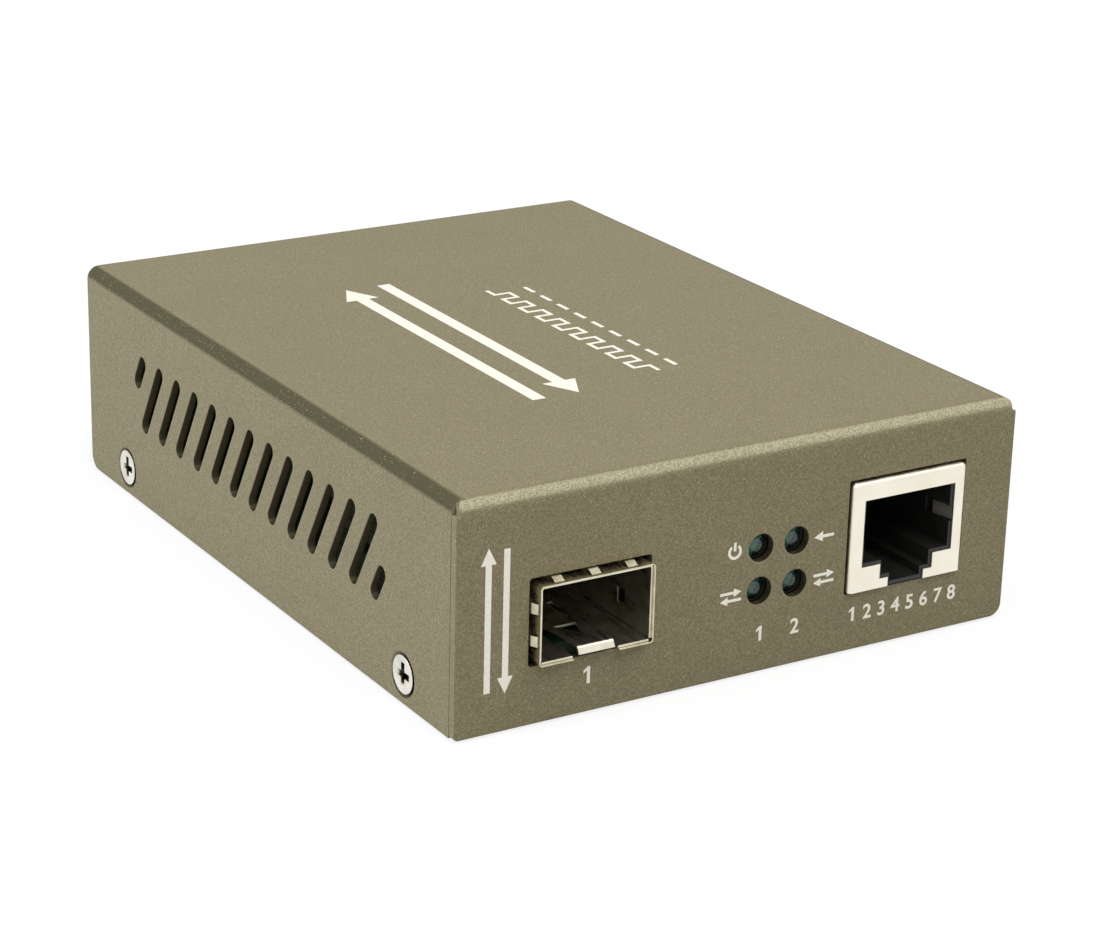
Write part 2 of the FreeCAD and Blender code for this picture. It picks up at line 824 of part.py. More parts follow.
def make_circuit_board():
    """Glass fibre board with every hole that a lead or peg passes."""
    outline = rectangle((-board_half, board_half), (board_front, board_rear))
    board = plate("z", outline, (board_bottom, board_top), board_corner)
    depth = (board_bottom - 1, board_top + 1)
    gap = 2 * board_hole_gap
    hole = board_screw_thread / 2 + board_hole_gap
    tools = [bar("z", x, y, hole, depth, hidden_flats) for x, y in standoff_places]
    leads = [(cage_pin_places(), sfp_sheet, cage_pin_width), (wire_places(), wire_size, wire_size),
             (lamp_lead_places(), lead_size, lead_size), (holder_peg_places(), holder_peg, holder_peg),
             (edge_peg_places(), edge_peg, edge_peg), (shield_pin_places(), rj45_sheet, shield_pin_width),
             (switch_terminal_places(), switch_terminal_width, switch_terminal_sheet),
             (switch_tab_places(), switch_sheet, switch_tab_width),
             (jack_blade_places()[:2], jack_blade_width, jack_leaf_sheet),
             (jack_blade_places()[2:], jack_leaf_sheet, jack_blade_width),
             (capacitor_lead_places() + crystal_lead_places(), thin_lead_size, thin_lead_size)]
    for places, width, length in leads:
        tools += [block(centred(place[0], width + gap), centred(place[1], length + gap), depth) for place in places]
    return without(board, tools)


# Small form factor cage

def make_sfp_cage_shell():
    """Top, walls and back folded from one sheet, with pins into the board."""
    wall_foot = floor_top + sfp_foot_gap
    left = sfp_x - shell_half
    right = sfp_x + shell_half
    wrap = [(right, wall_foot), (right, shell_top), (left, shell_top), (left, wall_foot)]
    shell = bent_strip("y", wrap, sfp_sheet, sfp_bend, (sfp_front + sfp_set_back, sfp_rear - sfp_back_relief))
    back_path = [(sfp_rear, wall_foot), (sfp_rear, shell_top), (sfp_rear - sfp_back_return, shell_top)]
    back = bent_strip("x", back_path, sfp_sheet, sfp_bend, (left + sfp_back_relief, right - sfp_back_relief))
    pins = []
    tip = board_bottom - cage_pin_reach
    for x, y in cage_pin_places():
        half = cage_pin_width / 2
        blade = [(y - half, wall_foot + sfp_sheet), (y - half, tip + cage_pin_tip), (y - half / 2, tip),
                 (y + half / 2, tip), (y + half, tip + cage_pin_tip), (y + half, wall_foot + sfp_sheet)]
        pins.append(plate("x", blade, centred(x, sfp_sheet)))
    cage = fused([shell, back] + pins)
    vents = [bar("z", sfp_x + x, sfp_front + cage_vent_first + index * cage_vent_pitch, cage_vent / 2,
                 (shell_top - 1, shell_top + 1), hidden_flats)
             for index in range(cage_vent_count) for x in (-cage_vent_pitch / 2, cage_vent_pitch / 2)]
    window_y = sfp_front + cage_slot_from_front
    window_z = sfp_bottom + cage_slot_lift
    window = block((left - 1, right + 1), centred(window_y, cage_slot_length), centred(window_z, cage_slot_height))
    return without(cage, vents + [window])


def make_sfp_cage_base():
    """Cage floor with hooks round the walls and the spring leaf of the latch."""
    half = shell_half - sfp_sheet - sfp_fit
    latch_root = sfp_front + latch_length
    floor_rear = sfp_front + edge_set_back - sfp_floor_gap
    floor = block((sfp_x - half, sfp_x + half), (sfp_front + sfp_set_back, floor_rear), (floor_bottom, floor_top))
    floor = without(floor, [block(centred(sfp_x, latch_gap), (sfp_front - 1, latch_root), (0, floor_top + 1))])
    outer = shell_half + sfp_fit + sfp_sheet
    hook_top = floor_bottom + hook_height
    hook_path = [(sfp_x - outer, hook_top), (sfp_x - outer, floor_bottom), (sfp_x + outer, floor_bottom),
                 (sfp_x + outer, hook_top)]
    hooks = []
    for index in range(hook_count):
        middle = sfp_front + cage_pin_first + cage_pin_pitch / 2 + index * cage_pin_pitch
        hooks.append(bent_strip("y", hook_path, sfp_sheet, sfp_bend / 2, centred(middle, hook_length)))
    lip_front = sfp_front + latch_set_back
    ridge = floor_bottom + latch_rise
    leaf_path = [(lip_front, ridge - latch_lip), (lip_front + latch_lip_slope, ridge),
                 (lip_front + latch_flat, ridge), (latch_root - latch_ramp_gap, floor_bottom),
                 (latch_root + latch_root_lap, floor_bottom)]
    leaf = bent_strip("x", leaf_path, sfp_sheet, sfp_bend, centred(sfp_x, latch_width))
    eye_front = lip_front + latch_eye_set_back
    eye = plate("z", [(sfp_x - latch_eye_width / 2, eye_front + latch_eye_length),
                      (sfp_x, eye_front), (sfp_x + latch_eye_width / 2, eye_front + latch_eye_length)],
                (floor_bottom - 1, ridge + 1))
    return fused([floor] + hooks + [without(leaf, [eye])])


def finger(axis, u_middle, v_face, outward):
    """Bowed strip and the window that it stands in, on one face of the collar."""
    start = sfp_front + finger_set_back
    end = start + finger_length
    inner = v_face - outward * collar_sheet
    crown = inner + outward * finger_bow
    path = [(start - finger_root, inner), (start, inner), (start + finger_ramp, crown),
            (end - finger_ramp, crown), (end, inner), (end + finger_root, inner)]
    width = centred(u_middle, finger_width)
    if axis == "x":
        strip = bent_strip("z", [(v, y) for y, v in path], -outward * collar_sheet, 0, width)
    else:
        strip = bent_strip("x", path, outward * collar_sheet, 0, width)
    across = centred(u_middle, finger_width + 2 * finger_slit)
    through = sorted((v_face + outward, inner - outward * sfp_fit))
    window = block(through, (start, end), across) if axis == "x" else block(across, (start, end), through)
    return strip, window


def make_sfp_spring_fingers():
    """Collar round the cage's mouth with bowed earthing fingers."""
    outer = rectangle(centred(sfp_x, sfp_width), (sfp_bottom, sfp_top))
    inner = rectangle(centred(sfp_x, 2 * (shell_half + sfp_fit)), (floor_bottom - sfp_fit, shell_top + sfp_fit))
    span = (sfp_front, sfp_front + collar_depth)
    collar = plate("y", outer, span, collar_corner)
    hollow = plate("y", inner, (span[0] - 1, span[1] + 1), collar_corner - collar_sheet)
    gap = block(centred(sfp_x, latch_gap), (span[0] - 1, span[1] + 1), (sfp_bottom - 1, floor_top))
    strips = []
    windows = []
    for x in spread(3, finger_top_pitch):
        placed = [finger("z", sfp_x + x, sfp_top, 1)]
        if x:
            placed.append(finger("z", sfp_x + x, sfp_bottom, -1))
        strips += [strip for strip, window in placed]
        windows += [window for strip, window in placed]
    for z in spread(2, finger_side_pitch):
        for side in (-1, 1):
            strip, window = finger("x", sfp_middle_z + z, sfp_x + side * sfp_width / 2, side)
            strips.append(strip)
            windows.append(window)
    return fused([without(collar, [hollow, gap] + windows)] + strips)


def edge_levels():
    """Front plane of the edge connector and the levels of its slot."""
    front = sfp_front + edge_set_back
    slot_floor = board_top + edge_slot_lift
    return front, slot_floor, slot_floor + edge_slot_height


def make_sfp_connector_housing():
    """Moulded block with a slot for the module's board edge."""
    front, slot_floor, slot_top = edge_levels()
    rear = front + edge_depth
    top = board_top + edge_height
    side = [(front, chip_base), (rear, chip_base), (rear, top - edge_chamfer), (rear - edge_chamfer, top),
            (front + edge_chamfer, top), (front, top - edge_chamfer)]
    body = plate("x", side, centred(sfp_x, edge_width))
    slot = block(centred(sfp_x, edge_slot_width), (front - 1, front + edge_slot_depth), (slot_floor, slot_top))
    passage_width = edge_contact_count * edge_contact_pitch
    passage = block(centred(sfp_x, passage_width), (front, rear + 1),
                    (slot_top - 2 * edge_contact_sheet, slot_top - 2 * edge_contact_sheet + edge_passage_height))
    pegs = [block(centred(x, edge_peg), centred(y, edge_peg), (board_bottom, chip_base))
            for x, y in edge_peg_places()]
    return without(fused([body] + pegs), [slot, passage])


def make_sfp_connector_contacts():
    """Two rows of leaf contacts, one turned down at the front, one at the back."""
    front, slot_floor, slot_top = edge_levels()
    rear = front + edge_depth
    leaf = edge_contact_sheet
    upper_level = slot_top - edge_contact_lift - leaf
    upper = [(rear + leaf + edge_foot, board_top), (rear + leaf, board_top), (rear + leaf, upper_level),
             (front + edge_contact_tip + 2 * edge_contact_step, upper_level),
             (front + edge_contact_tip + edge_contact_step, upper_level - edge_contact_bow),
             (front + edge_contact_tip, upper_level)]
    lower_level = slot_floor + edge_contact_lift
    rise = front - edge_contact_lift
    lower = [(front - leaf - edge_foot, board_top), (rise, board_top), (rise, lower_level),
             (front + edge_contact_root, lower_level),
             (front + edge_contact_root + edge_contact_step, lower_level + edge_contact_bow),
             (front + edge_contact_root + 2 * edge_contact_step, lower_level)]
    contacts = []
    for x in spread(edge_contact_count, edge_contact_pitch):
        across = centred(sfp_x + x, edge_contact_width)
        contacts.append(bent_strip("x", upper, -leaf, 0, across))
        contacts.append(bent_strip("x", lower, leaf, 0, across))
    return group(contacts)


# Copper port

def plug_outline(inset):
    """Stepped outline of the plug opening, latch side down, made smaller by an inset."""
    half = plug_half_width - inset
    step = plug_step_half_width - inset
    key = plug_key_half_width - inset
    roof = rj45_bottom + plug_roof
    floor = rj45_bottom + plug_floor + inset
    step_floor = rj45_bottom + plug_step_floor + inset
    bottom = rj45_bottom + key_floor if inset else rj45_bottom - 1
    right = [(key, bottom), (key, step_floor), (step, step_floor), (step, floor), (half, floor), (half, roof)]
    left = [(-u, v) for u, v in reversed(right)]
    return [(rj45_x + u, v) for u, v in right + left]


def make_rj45_shield():
    """Folded shield with a stepped front, side springs and two solder tabs."""
    outer = block(centred(rj45_x, rj45_width), (rj45_front, rj45_rear), (rj45_bottom, rj45_top))
    soft = [edge for edge in outer.Edges if on_front_or_top_corner(edge)]
    outer = outer.makeFillet(rj45_corner, soft)
    wall = rj45_sheet
    inner = block(centred(rj45_x, rj45_width - 2 * wall), (rj45_front + wall, rj45_rear - wall),
                  (rj45_bottom - 1, rj45_top - wall))
    soft = [edge for edge in inner.Edges if on_upper_side(edge, rj45_top - wall)]
    inner = inner.makeFillet(rj45_corner - wall, soft)
    mouth = plate("y", plug_outline(0), (rj45_front - 1, rj45_front + 2 * wall))
    shield = without(outer, [inner, mouth])
    pieces = [shield]
    for side in (-1, 1):
        root = (rj45_x + side * (plug_half_width + shield_tab_root), rj45_front + wall / 2)
        tip = (rj45_x + side * (plug_half_width - shield_tab_lean), rj45_front + shield_tab_length)
        level = rj45_bottom + shield_tab_lift
        pieces.append(bent_strip("z", [root, tip], -side * wall, 0, (level, level + shield_tab_height)))
    for x, y in shield_pin_places():
        pieces.append(block(centred(x, wall), centred(y, shield_pin_width),
                            (board_bottom - shield_pin_reach, rj45_bottom + wall)))
    return fused(pieces)


def on_front_or_top_corner(edge):
    """True for the shield's outer edges that the fold leaves round."""
    middle = edge.CenterOfMass
    upright = abs(edge.BoundBox.ZLength) > 1
    front = middle.y < rj45_front + 0.01
    along = edge.BoundBox.YLength > 1
    high = middle.z > rj45_top - 0.01
    return (front and (upright or high)) or (along and high)


def on_upper_side(edge, level):
    """True for the edges that run from front to rear along the shield's inner roof."""
    return edge.BoundBox.YLength > 1 and edge.CenterOfMass.z > level - 0.01


def wire_levels():
    """Levels of the roof grooves and of the wires that lie in them."""
    roof = rj45_bottom + plug_roof
    return roof, roof + wire_gap, roof + 2 * wire_gap + wire_size


def make_rj45_housing():
    """Moulded insert with the plug's cavity and a groove for each wire."""
    inner = rj45_sheet + housing_gap
    front = rj45_front + housing_set_back
    rear = rj45_rear - inner
    outline = rectangle(centred(rj45_x, rj45_width - 2 * inner), (rj45_bottom, rj45_top - inner))
    body = plate("y", outline, (front, rear), [0.0, 0.0, rj45_corner, rj45_corner])
    cavity = plate("y", plug_outline(plug_ledge), (front - 1, front + plug_depth))
    tools = [cavity]
    for side in (-1, 1):
        x = rj45_x + side * (plug_half_width - plug_ledge)
        pocket_z = rj45_bottom + shield_tab_lift - wire_gap
        tools.append(block(sorted((x - side, rj45_x + side * rj45_width / 2)),
                           (front - 1, front + shield_tab_length + 1),
                           (pocket_z, pocket_z + shield_tab_height + 2 * wire_gap)))
    roof, _, groove_top = wire_levels()
    groove = wire_size + 2 * wire_gap
    for x, y in wire_places():
        across = centred(x, groove)
        turn_front = rj45_front + wire_turn_set_back - wire_gap
        tools.append(block(across, (turn_front, y + groove / 2), (roof - 0.01, groove_top)))
        tools.append(block(across, centred(y, groove), (rj45_bottom - 1, groove_top)))
    return without(body, tools)


def make_rj45_contacts():
    """Eight wires: up from the board, forward in the roof, then back into the cavity."""
    roof, lie, _ = wire_levels()
    turn_y = rj45_front + wire_turn_set_back
    tip = (rj45_front + wire_tip_set_back, roof - wire_tip_drop)
    wires = []
    for x, y in wire_places():
        tail = (y + wire_size / 2, board_bottom - lead_reach)
        bend_up = (y + wire_size / 2, lie + wire_size)
        path = [tail, bend_up, (turn_y, lie + wire_size), (turn_y, lie - wire_gap - wire_size), tip]
        wires.append(bent_strip("x", path, wire_size, 0, centred(x, wire_size)))
    return group(wires)


# Indicator lamps

def make_led_holder():
    """Moulded block with a bore for each lamp and two pegs into the board."""
    half = lamp_column_pitch / 2 + lamp_flange / 2 + holder_wall
    top = lamp_rows[1] + lamp_flange / 2 + holder_wall
    outline = rectangle((lamp_middle_x - half, lamp_middle_x + half), (board_top, top))
    body = plate("y", outline, (holder_front, holder_rear), [0.0, 0.0, holder_wall / 2, holder_wall / 2])
    pegs = [block(centred(x, holder_peg), centred(y, holder_peg), (board_bottom, board_top))
            for x, y in holder_peg_places()]
    bores = [bar("y", x, z, lamp_diameter / 2 + lamp_fit, (holder_front - 1, holder_rear + 1), lamp_flats)
             for x in lamp_columns for z in lamp_rows]
    return without(fused([body] + pegs), bores)


def make_lamp(x, z):
    """Cast lamp body: domed tip, straight barrel and a flange at the back."""
    radius = lamp_diameter / 2
    flange = lamp_flange / 2
    seat = lamp_length - lamp_flange_depth
    rings = [math.radians(90 * n / lamp_dome_ring_count) for n in range(lamp_dome_ring_count + 1)]
    dome = [(radius * math.sin(turn), radius * (1 - math.cos(turn))) for turn in rings]
    outline = dome + [(radius, seat), (flange, seat), (flange, lamp_length), (0, lamp_length)]
    return turned(V(x, lamp_tip, z), V(0, 1, 0), outline, lamp_flats)


def make_led_leads():
    """Square leads from the back of each lamp, bent down through the board."""
    rear = lamp_tip + lamp_length
    leads = []
    for x, y, level in lamp_lead_places():
        path = [(rear, level + lead_size / 2), (y + lead_size / 2, level + lead_size / 2),
                (y + lead_size / 2, board_bottom - lead_reach)]
        leads.append(bent_strip("x", path, -lead_size, 0, centred(x, lead_size)))
    return group(leads)


# Power inlet

def make_dc_jack_housing():
    """Moulded socket with an arched top, a collar through the panel and a blind bore."""
    half = jack_width / 2
    front = jack_body_rear - jack_body_depth
    arch = [Part.LineSegment(V(jack_x - half, front, board_top), V(jack_x + half, front, board_top)).toShape(),
            Part.LineSegment(V(jack_x + half, front, board_top), V(jack_x + half, front, jack_z)).toShape(),
            Part.Arc(V(jack_x + half, front, jack_z), V(jack_x, front, jack_z + half),
                     V(jack_x - half, front, jack_z)).toShape(),
            Part.LineSegment(V(jack_x - half, front, jack_z), V(jack_x - half, front, board_top)).toShape()]
    body = Part.Face(Part.Wire(arch)).extrude(V(0, jack_body_depth, 0))
    collar = rod("y", jack_x, jack_z, jack_collar / 2, (jack_body_rear, jack_mouth))
    bore_end = jack_mouth - jack_bore_depth
    bore = rod("y", jack_x, jack_z, jack_bore / 2, (bore_end, jack_mouth + 1))
    mouth = taper("y", jack_x, jack_z, (jack_bore / 2, jack_bore / 2 + jack_mouth_chamfer),
                  (jack_mouth - jack_mouth_chamfer, jack_mouth))
    pin_seat = rod("y", jack_x, jack_z, jack_pin / 2 + thread_gap, (front - 1, bore_end + 1))
    well = block(centred(jack_x, jack_leaf_width + 2 * jack_leaf_gap), sleeve_span(jack_leaf_gap),
                 (board_top - 1, jack_z - jack_bore / 4))
    return without(fused([body, collar]), [bore, mouth, pin_seat, well])


def sleeve_span(extra):
    """Length of the sleeve leaf along the inlet, widened by an extra at each end."""
    rear = jack_body_rear - jack_leaf_set_back
    return (rear - jack_leaf_length - extra, rear + extra)


def make_dc_jack_pin():
    """Turned centre pin with a blade riveted behind the housing."""
    front = jack_body_rear - jack_body_depth
    tip = jack_mouth - jack_pin_recess
    radius = jack_pin / 2
    nose = jack_pin_nose
    shaft = rod("y", jack_x, jack_z, radius, (front - jack_leaf_sheet, tip - nose))
    point = taper("y", jack_x, jack_z, (radius, radius - nose), (tip - nose, tip))
    blade = block(centred(jack_x, jack_blade_width), (front - jack_leaf_sheet, front),
                  (board_bottom - jack_blade_reach, jack_z + radius + jack_pin_blade_rim))
    return fused([shaft, point, blade])


def make_dc_jack_sleeve_contact():
    """Bowed leaf in the floor of the bore with its blade through the board."""
    start, end = sleeve_span(0)
    level = jack_z - jack_bore / 2 - jack_leaf_sheet - jack_leaf_drop
    blade_y = jack_blade_places()[1][1]
    middle = (start + end) / 2
    crown = jack_leaf_crown / 2
    path = [(start, level), (middle - crown, level + jack_leaf_bow), (middle + crown, level + jack_leaf_bow),
            (end, level)]
    leaf = bent_strip("x", path, jack_leaf_sheet, jack_leaf_sheet, centred(jack_x, jack_leaf_width))
    blade = block(centred(jack_x, jack_blade_width), centred(blade_y, jack_leaf_sheet),
                  (board_bottom - jack_blade_reach, level + jack_leaf_sheet / 2))
    return fused([leaf, blade])


def make_dc_jack_switch_contact():
    """Flat blade on the side of the inlet."""
    y = jack_blade_places()[2][1]
    outer = jack_x - jack_width / 2
    return block((outer - jack_leaf_sheet, outer), centred(y, jack_blade_width),
                 (board_bottom - jack_blade_reach, jack_z - jack_switch_blade_drop))


# Slide switch

def make_mode_switch_frame():
    """Folded metal frame, open underneath and at the front, with two board tabs."""
    wall = switch_sheet
    across = centred(switch_x, switch_width)
    top = switch_bottom + switch_height
    outer = block(across, (switch_front, switch_rear), (switch_bottom, top))
    soft = [edge for edge in outer.Edges if edge.BoundBox.YLength > 1 and edge.CenterOfMass.z > top - 0.01]
    outer = outer.makeFillet(wall, soft)
    inner = block((across[0] + wall, across[1] - wall), (switch_front - 1, switch_rear - wall),
                  (switch_bottom - 1, top - wall))
    half = (knob_width + switch_travel) / 2 + knob_gap
    slot = block(centred(switch_x, 2 * half), (switch_rear - wall - 1, switch_rear + 1),
                 centred(knob_z, knob_height + 2 * knob_gap))
    tab_span = (board_bottom - switch_pin_reach, switch_bottom + wall)
    tabs = [block(centred(x, wall), centred(y, switch_tab_width), tab_span)
            for x, y in switch_tab_places()]
    return fused([without(outer, [inner, slot])] + tabs)


def make_mode_switch_base():
    """Insulating plate that closes the frame at the front."""
    inset = switch_sheet + knob_gap
    body = rectangle(centred(switch_x, switch_width - 2 * inset),
                     (switch_bottom, switch_bottom + switch_height - inset))
    return plate("y", body, (switch_front, switch_front + switch_base_depth))


def make_mode_switch_knob():
    """Slider with an inner flange and a ribbed thumb piece, at the left end of its travel."""
    x = switch_x - switch_travel / 2
    inner_rear = switch_rear - switch_sheet - knob_gap
    flange = block(centred(x, knob_flange_width), (inner_rear - knob_flange_depth, inner_rear),
                   centred(knob_z, switch_height - 2 * switch_sheet - 4 * knob_gap))
    tip = chassis_rear + knob_proud
    thumb = block(centred(x, knob_width), (inner_rear - knob_root, tip), centred(knob_z, knob_height))
    valley = knob_width / (2 * knob_rib_count)
    grooves = [plate("z", [(x + place - valley / 2, tip + 0.01), (x + place, tip - 2 * knob_rib_depth),
                           (x + place + valley / 2, tip + 0.01)], centred(knob_z, knob_height + 1))
               for place in spread(knob_rib_count, knob_width / knob_rib_count)]
    return without(fused([flange, thumb]), grooves)


def make_mode_switch_terminals():
    """Three blades bent from the insulating plate down through the board."""
    pieces = []
    for x, _ in switch_terminal_places():
        depth = (switch_front - switch_terminal_sheet, switch_front)
        pieces.append(block(centred(x, switch_terminal_width), depth, (board_bottom - switch_pin_reach, knob_z)))
    return group(pieces)


# Components on the board

def gull_lead(side_place, outward, level):
    """Path of a lead from a package's side out and down to its foot, seen along the side."""
    half_drop = side_place + outward * (lead_out - lead_foot) / 2
    toe = side_place + outward * lead_out
    return [(side_place, level), (half_drop, level), (half_drop, board_top), (toe, board_top)]


def lead_row(axis, middle, side_place, outward, level, count, pitch):
    """Row of gull leads along one side of a package."""
    path = gull_lead(side_place, outward, level)
    sheet = lead_sheet * outward
    return [bent_strip(axis, path, sheet, 0, centred(middle + place, lead_width))
            for place in spread(count, pitch)]


def package(x, y, width, depth, height, radius):
    """Moulded package with chamfered upper edges."""
    top = chip_base + height
    body = plate("z", rectangle(centred(x, width), centred(y, depth)), (chip_base, top), radius)
    upper = [edge for edge in body.Edges if edge.CenterOfMass.z > top - 0.01]
    return body.makeChamfer(chamfer_small, upper)


def make_converter_chip():
    """Square converter package."""
    return package(chip_x, chip_y, chip_size, chip_size, chip_height, 0.0)


def make_converter_chip_leads():
    """Leads on the four sides of the converter package."""
    level = chip_base + lead_level
    half = chip_size / 2
    leads = []
    for outward in (-1, 1):
        leads += lead_row("x", chip_x, chip_y + outward * half, outward, level, chip_lead_count, chip_lead_pitch)
        leads += lead_row("y", chip_y, chip_x + outward * half, outward, level, chip_lead_count, chip_lead_pitch)
    return group(leads)


def make_magnetics_module():
    """Moulded transformer block between the converter and the copper port."""
    return package(rj45_x, magnetics_y, magnetics_width, magnetics_depth, magnetics_height, 0.0)


def make_magnetics_leads():
    """Leads along the front and rear of the transformer block."""
    level = chip_base + magnetics_lead_level
    leads = []
    for outward in (-1, 1):
        leads += lead_row("x", rj45_x, magnetics_y + outward * magnetics_depth / 2, outward, level,
                          magnetics_lead_count, magnetics_lead_pitch)
    return group(leads)


def make_memory_chip():
    """Small settings memory."""
    return package(memory_x, memory_y, memory_size, memory_depth, memory_height, 0.0)


def make_memory_chip_leads():
    """Leads along both sides of the settings memory."""
    leads = []
    for outward in (-1, 1):
        leads += lead_row("x", memory_x, memory_y + outward * memory_depth / 2, outward, chip_base + lead_level,
                          memory_lead_count, memory_lead_pitch)
    return group(leads)


def make_voltage_regulator():
    """Regulator package."""
    return package(regulator_x, regulator_y, regulator_width, regulator_depth, regulator_height, 0.0)


def make_regulator_leads():
    """Three leads on one side of the regulator and a wide tab on the other."""
    level = chip_base + lead_level
    front = regulator_y - regulator_depth / 2
    leads = lead_row("x", regulator_x, front, -1, level, regulator_lead_count, regulator_lead_pitch)
    rear = regulator_y + regulator_depth / 2
    leads.append(bent_strip("x", gull_lead(rear, 1, level), lead_sheet, 0, centred(regulator_x, regulator_tab)))
    return group(leads)


def thin_lead(x, y):
    """Straight lead from under a component through the board."""
    return block(centred(x, thin_lead_size), centred(y, thin_lead_size), (board_bottom - lead_reach, chip_base))


def make_crystal():
    """Crystal in a drawn can with a rim, its leads through the board."""
    straight = (crystal_length - crystal_width) / 2
    ends = [(crystal_x, crystal_y - straight), (crystal_x, crystal_y + straight)]
    rim = obround("z", ends, crystal_width + 2 * crystal_rim, (chip_base, chip_base + crystal_rim_height))
    can = obround("z", ends, crystal_width, (chip_base, chip_base + crystal_height))
    leads = [thin_lead(x, y) for x, y in crystal_lead_places()]
    return fused([rim, can] + leads)


def make_power_inductor():
    """Shielded inductor with a waist between its two flanges."""
    def tier(shrink, span):
        half = (inductor_size - shrink) / 2
        near = half - inductor_chamfer
        outline = [(half, -near), (half, near), (near, half), (-near, half), (-half, near), (-half, -near),
                   (-near, -half), (near, -half)]
        return plate("z", [(inductor_x + u, inductor_y + v) for u, v in outline], span)

    top = board_top + inductor_height
    lower = tier(0, (board_top, board_top + inductor_flange))
    waist = tier(inductor_waist, (board_top + inductor_flange, top - inductor_flange))
    upper = tier(0, (top - inductor_flange, top))
    return fused([lower, waist, upper])


def make_filter_capacitors():
    """Can capacitors, their leads through the board."""
    radius = capacitor_diameter / 2
    cans = []
    for x, y in capacitor_places:
        can = bar("z", x, y, radius, (chip_base, chip_base + capacitor_height), seen_flats)
        leads = [thin_lead(x + side * capacitor_lead_pitch / 2, y) for side in (-1, 1)]
        cans.append(fused([can] + leads))
    return group(cans)


def make_input_fuse():
    """Resettable fuse with a thicker metal cap at each end."""
    body = block(centred(fuse_x, fuse_width), centred(fuse_y, fuse_length - 2 * fuse_cap),
                 (chip_base, chip_base + fuse_height - part_lift))
    caps = [block(centred(fuse_x, fuse_width), centred(fuse_y + side * (fuse_length - fuse_cap) / 2, fuse_cap),
                  (board_top, chip_base + fuse_height)) for side in (-1, 1)]
    return fused([body] + caps)


def make_input_diode():
    """Moulded diode with a foot folded under each end."""
    top = board_top + diode_height
    foot_level = chip_base + lead_sheet
    start, end = centred(diode_y, diode_length)
    side = [(start, foot_level), (end, foot_level), (end - chamfer_small, top), (start + chamfer_small, top)]
    body = plate("x", side, centred(diode_x, diode_width))
    reach = (diode_length - diode_foot) / 2
    foot_top = chip_base + lead_sheet + diode_foot_lap
    feet = [block(centred(diode_x, diode_foot_width), centred(diode_y + side * reach, diode_foot),
                  (board_top, foot_top)) for side in (-1, 1)]
    return fused([body] + feet)


def make_chip_capacitors():
    """Small ceramic capacitors with raised end caps."""
    width, length, height = small_capacitor_size
    pieces = []
    for x, y in small_capacitor_places:
        body = block(centred(x, width - 2 * small_capacitor_rim), centred(y, length - 2 * small_capacitor_cap),
                     (board_top + small_capacitor_rim, board_top + height - small_capacitor_rim))
        reach = (length - small_capacitor_cap) / 2
        caps = [block(centred(x, width), centred(y + side * reach, small_capacitor_cap),
                      (board_top, board_top + height)) for side in (-1, 1)]
        pieces.append(fused([body] + caps))
    return group(pieces)


# Every sub-part and its file

parts = {
    "top_cover": make_top_cover(),
    "base_chassis": make_base_chassis(),
    "cover_screws": make_cover_screws(),
    "circuit_board": make_circuit_board(),
    "board_standoffs": make_board_standoffs(),
    "board_screws": make_board_screws(),
    "sfp_cage_shell": make_sfp_cage_shell(),
    "sfp_cage_base": make_sfp_cage_base(),
    "sfp_spring_fingers": make_sfp_spring_fingers(),
    "sfp_connector_housing": make_sfp_connector_housing(),
    "sfp_connector_contacts": make_sfp_connector_contacts(),
    "rj45_shield": make_rj45_shield(),
    "rj45_housing": make_rj45_housing(),
    "rj45_contacts": make_rj45_contacts(),
    "led_holder": make_led_holder(),
    "led_power": make_lamp(lamp_columns[0], lamp_rows[1]),
    "led_fibre_link": make_lamp(lamp_columns[0], lamp_rows[0]),
    "led_copper_receive": make_lamp(lamp_columns[1], lamp_rows[1]),
    "led_copper_link": make_lamp(lamp_columns[1], lamp_rows[0]),
    "led_leads": make_led_leads(),
    "dc_jack_housing": make_dc_jack_housing(),
    "dc_jack_pin": make_dc_jack_pin(),
    "dc_jack_sleeve_contact": make_dc_jack_sleeve_contact(),
    "dc_jack_switch_contact": make_dc_jack_switch_contact(),
    "mode_switch_frame": make_mode_switch_frame(),
    "mode_switch_base": make_mode_switch_base(),
    "mode_switch_knob": make_mode_switch_knob(),
    "mode_switch_terminals": make_mode_switch_terminals(),
    "converter_chip": make_converter_chip(),
    "converter_chip_leads": make_converter_chip_leads(),
    "magnetics_module": make_magnetics_module(),
    "magnetics_leads": make_magnetics_leads(),
    "memory_chip": make_memory_chip(),
    "memory_chip_leads": make_memory_chip_leads(),
    "voltage_regulator": make_voltage_regulator(),
    "regulator_leads": make_regulator_leads(),
    "crystal": make_crystal(),
    "power_inductor": make_power_inductor(),
    "filter_capacitors": make_filter_capacitors(),
    "input_fuse": make_input_fuse(),
    "input_diode": make_input_diode(),
    "chip_capacitors": make_chip_capacitors(),
}

for name, shape in parts.items():
    shape.exportStep("parts/" + name + ".step")
    print(name, len(shape.Solids), "solids", round(shape.Volume, 2), "mm3", "valid" if shape.isValid() else "INVALID")
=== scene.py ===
import math

import bmesh
import bpy
from mathutils import Matrix, Vector


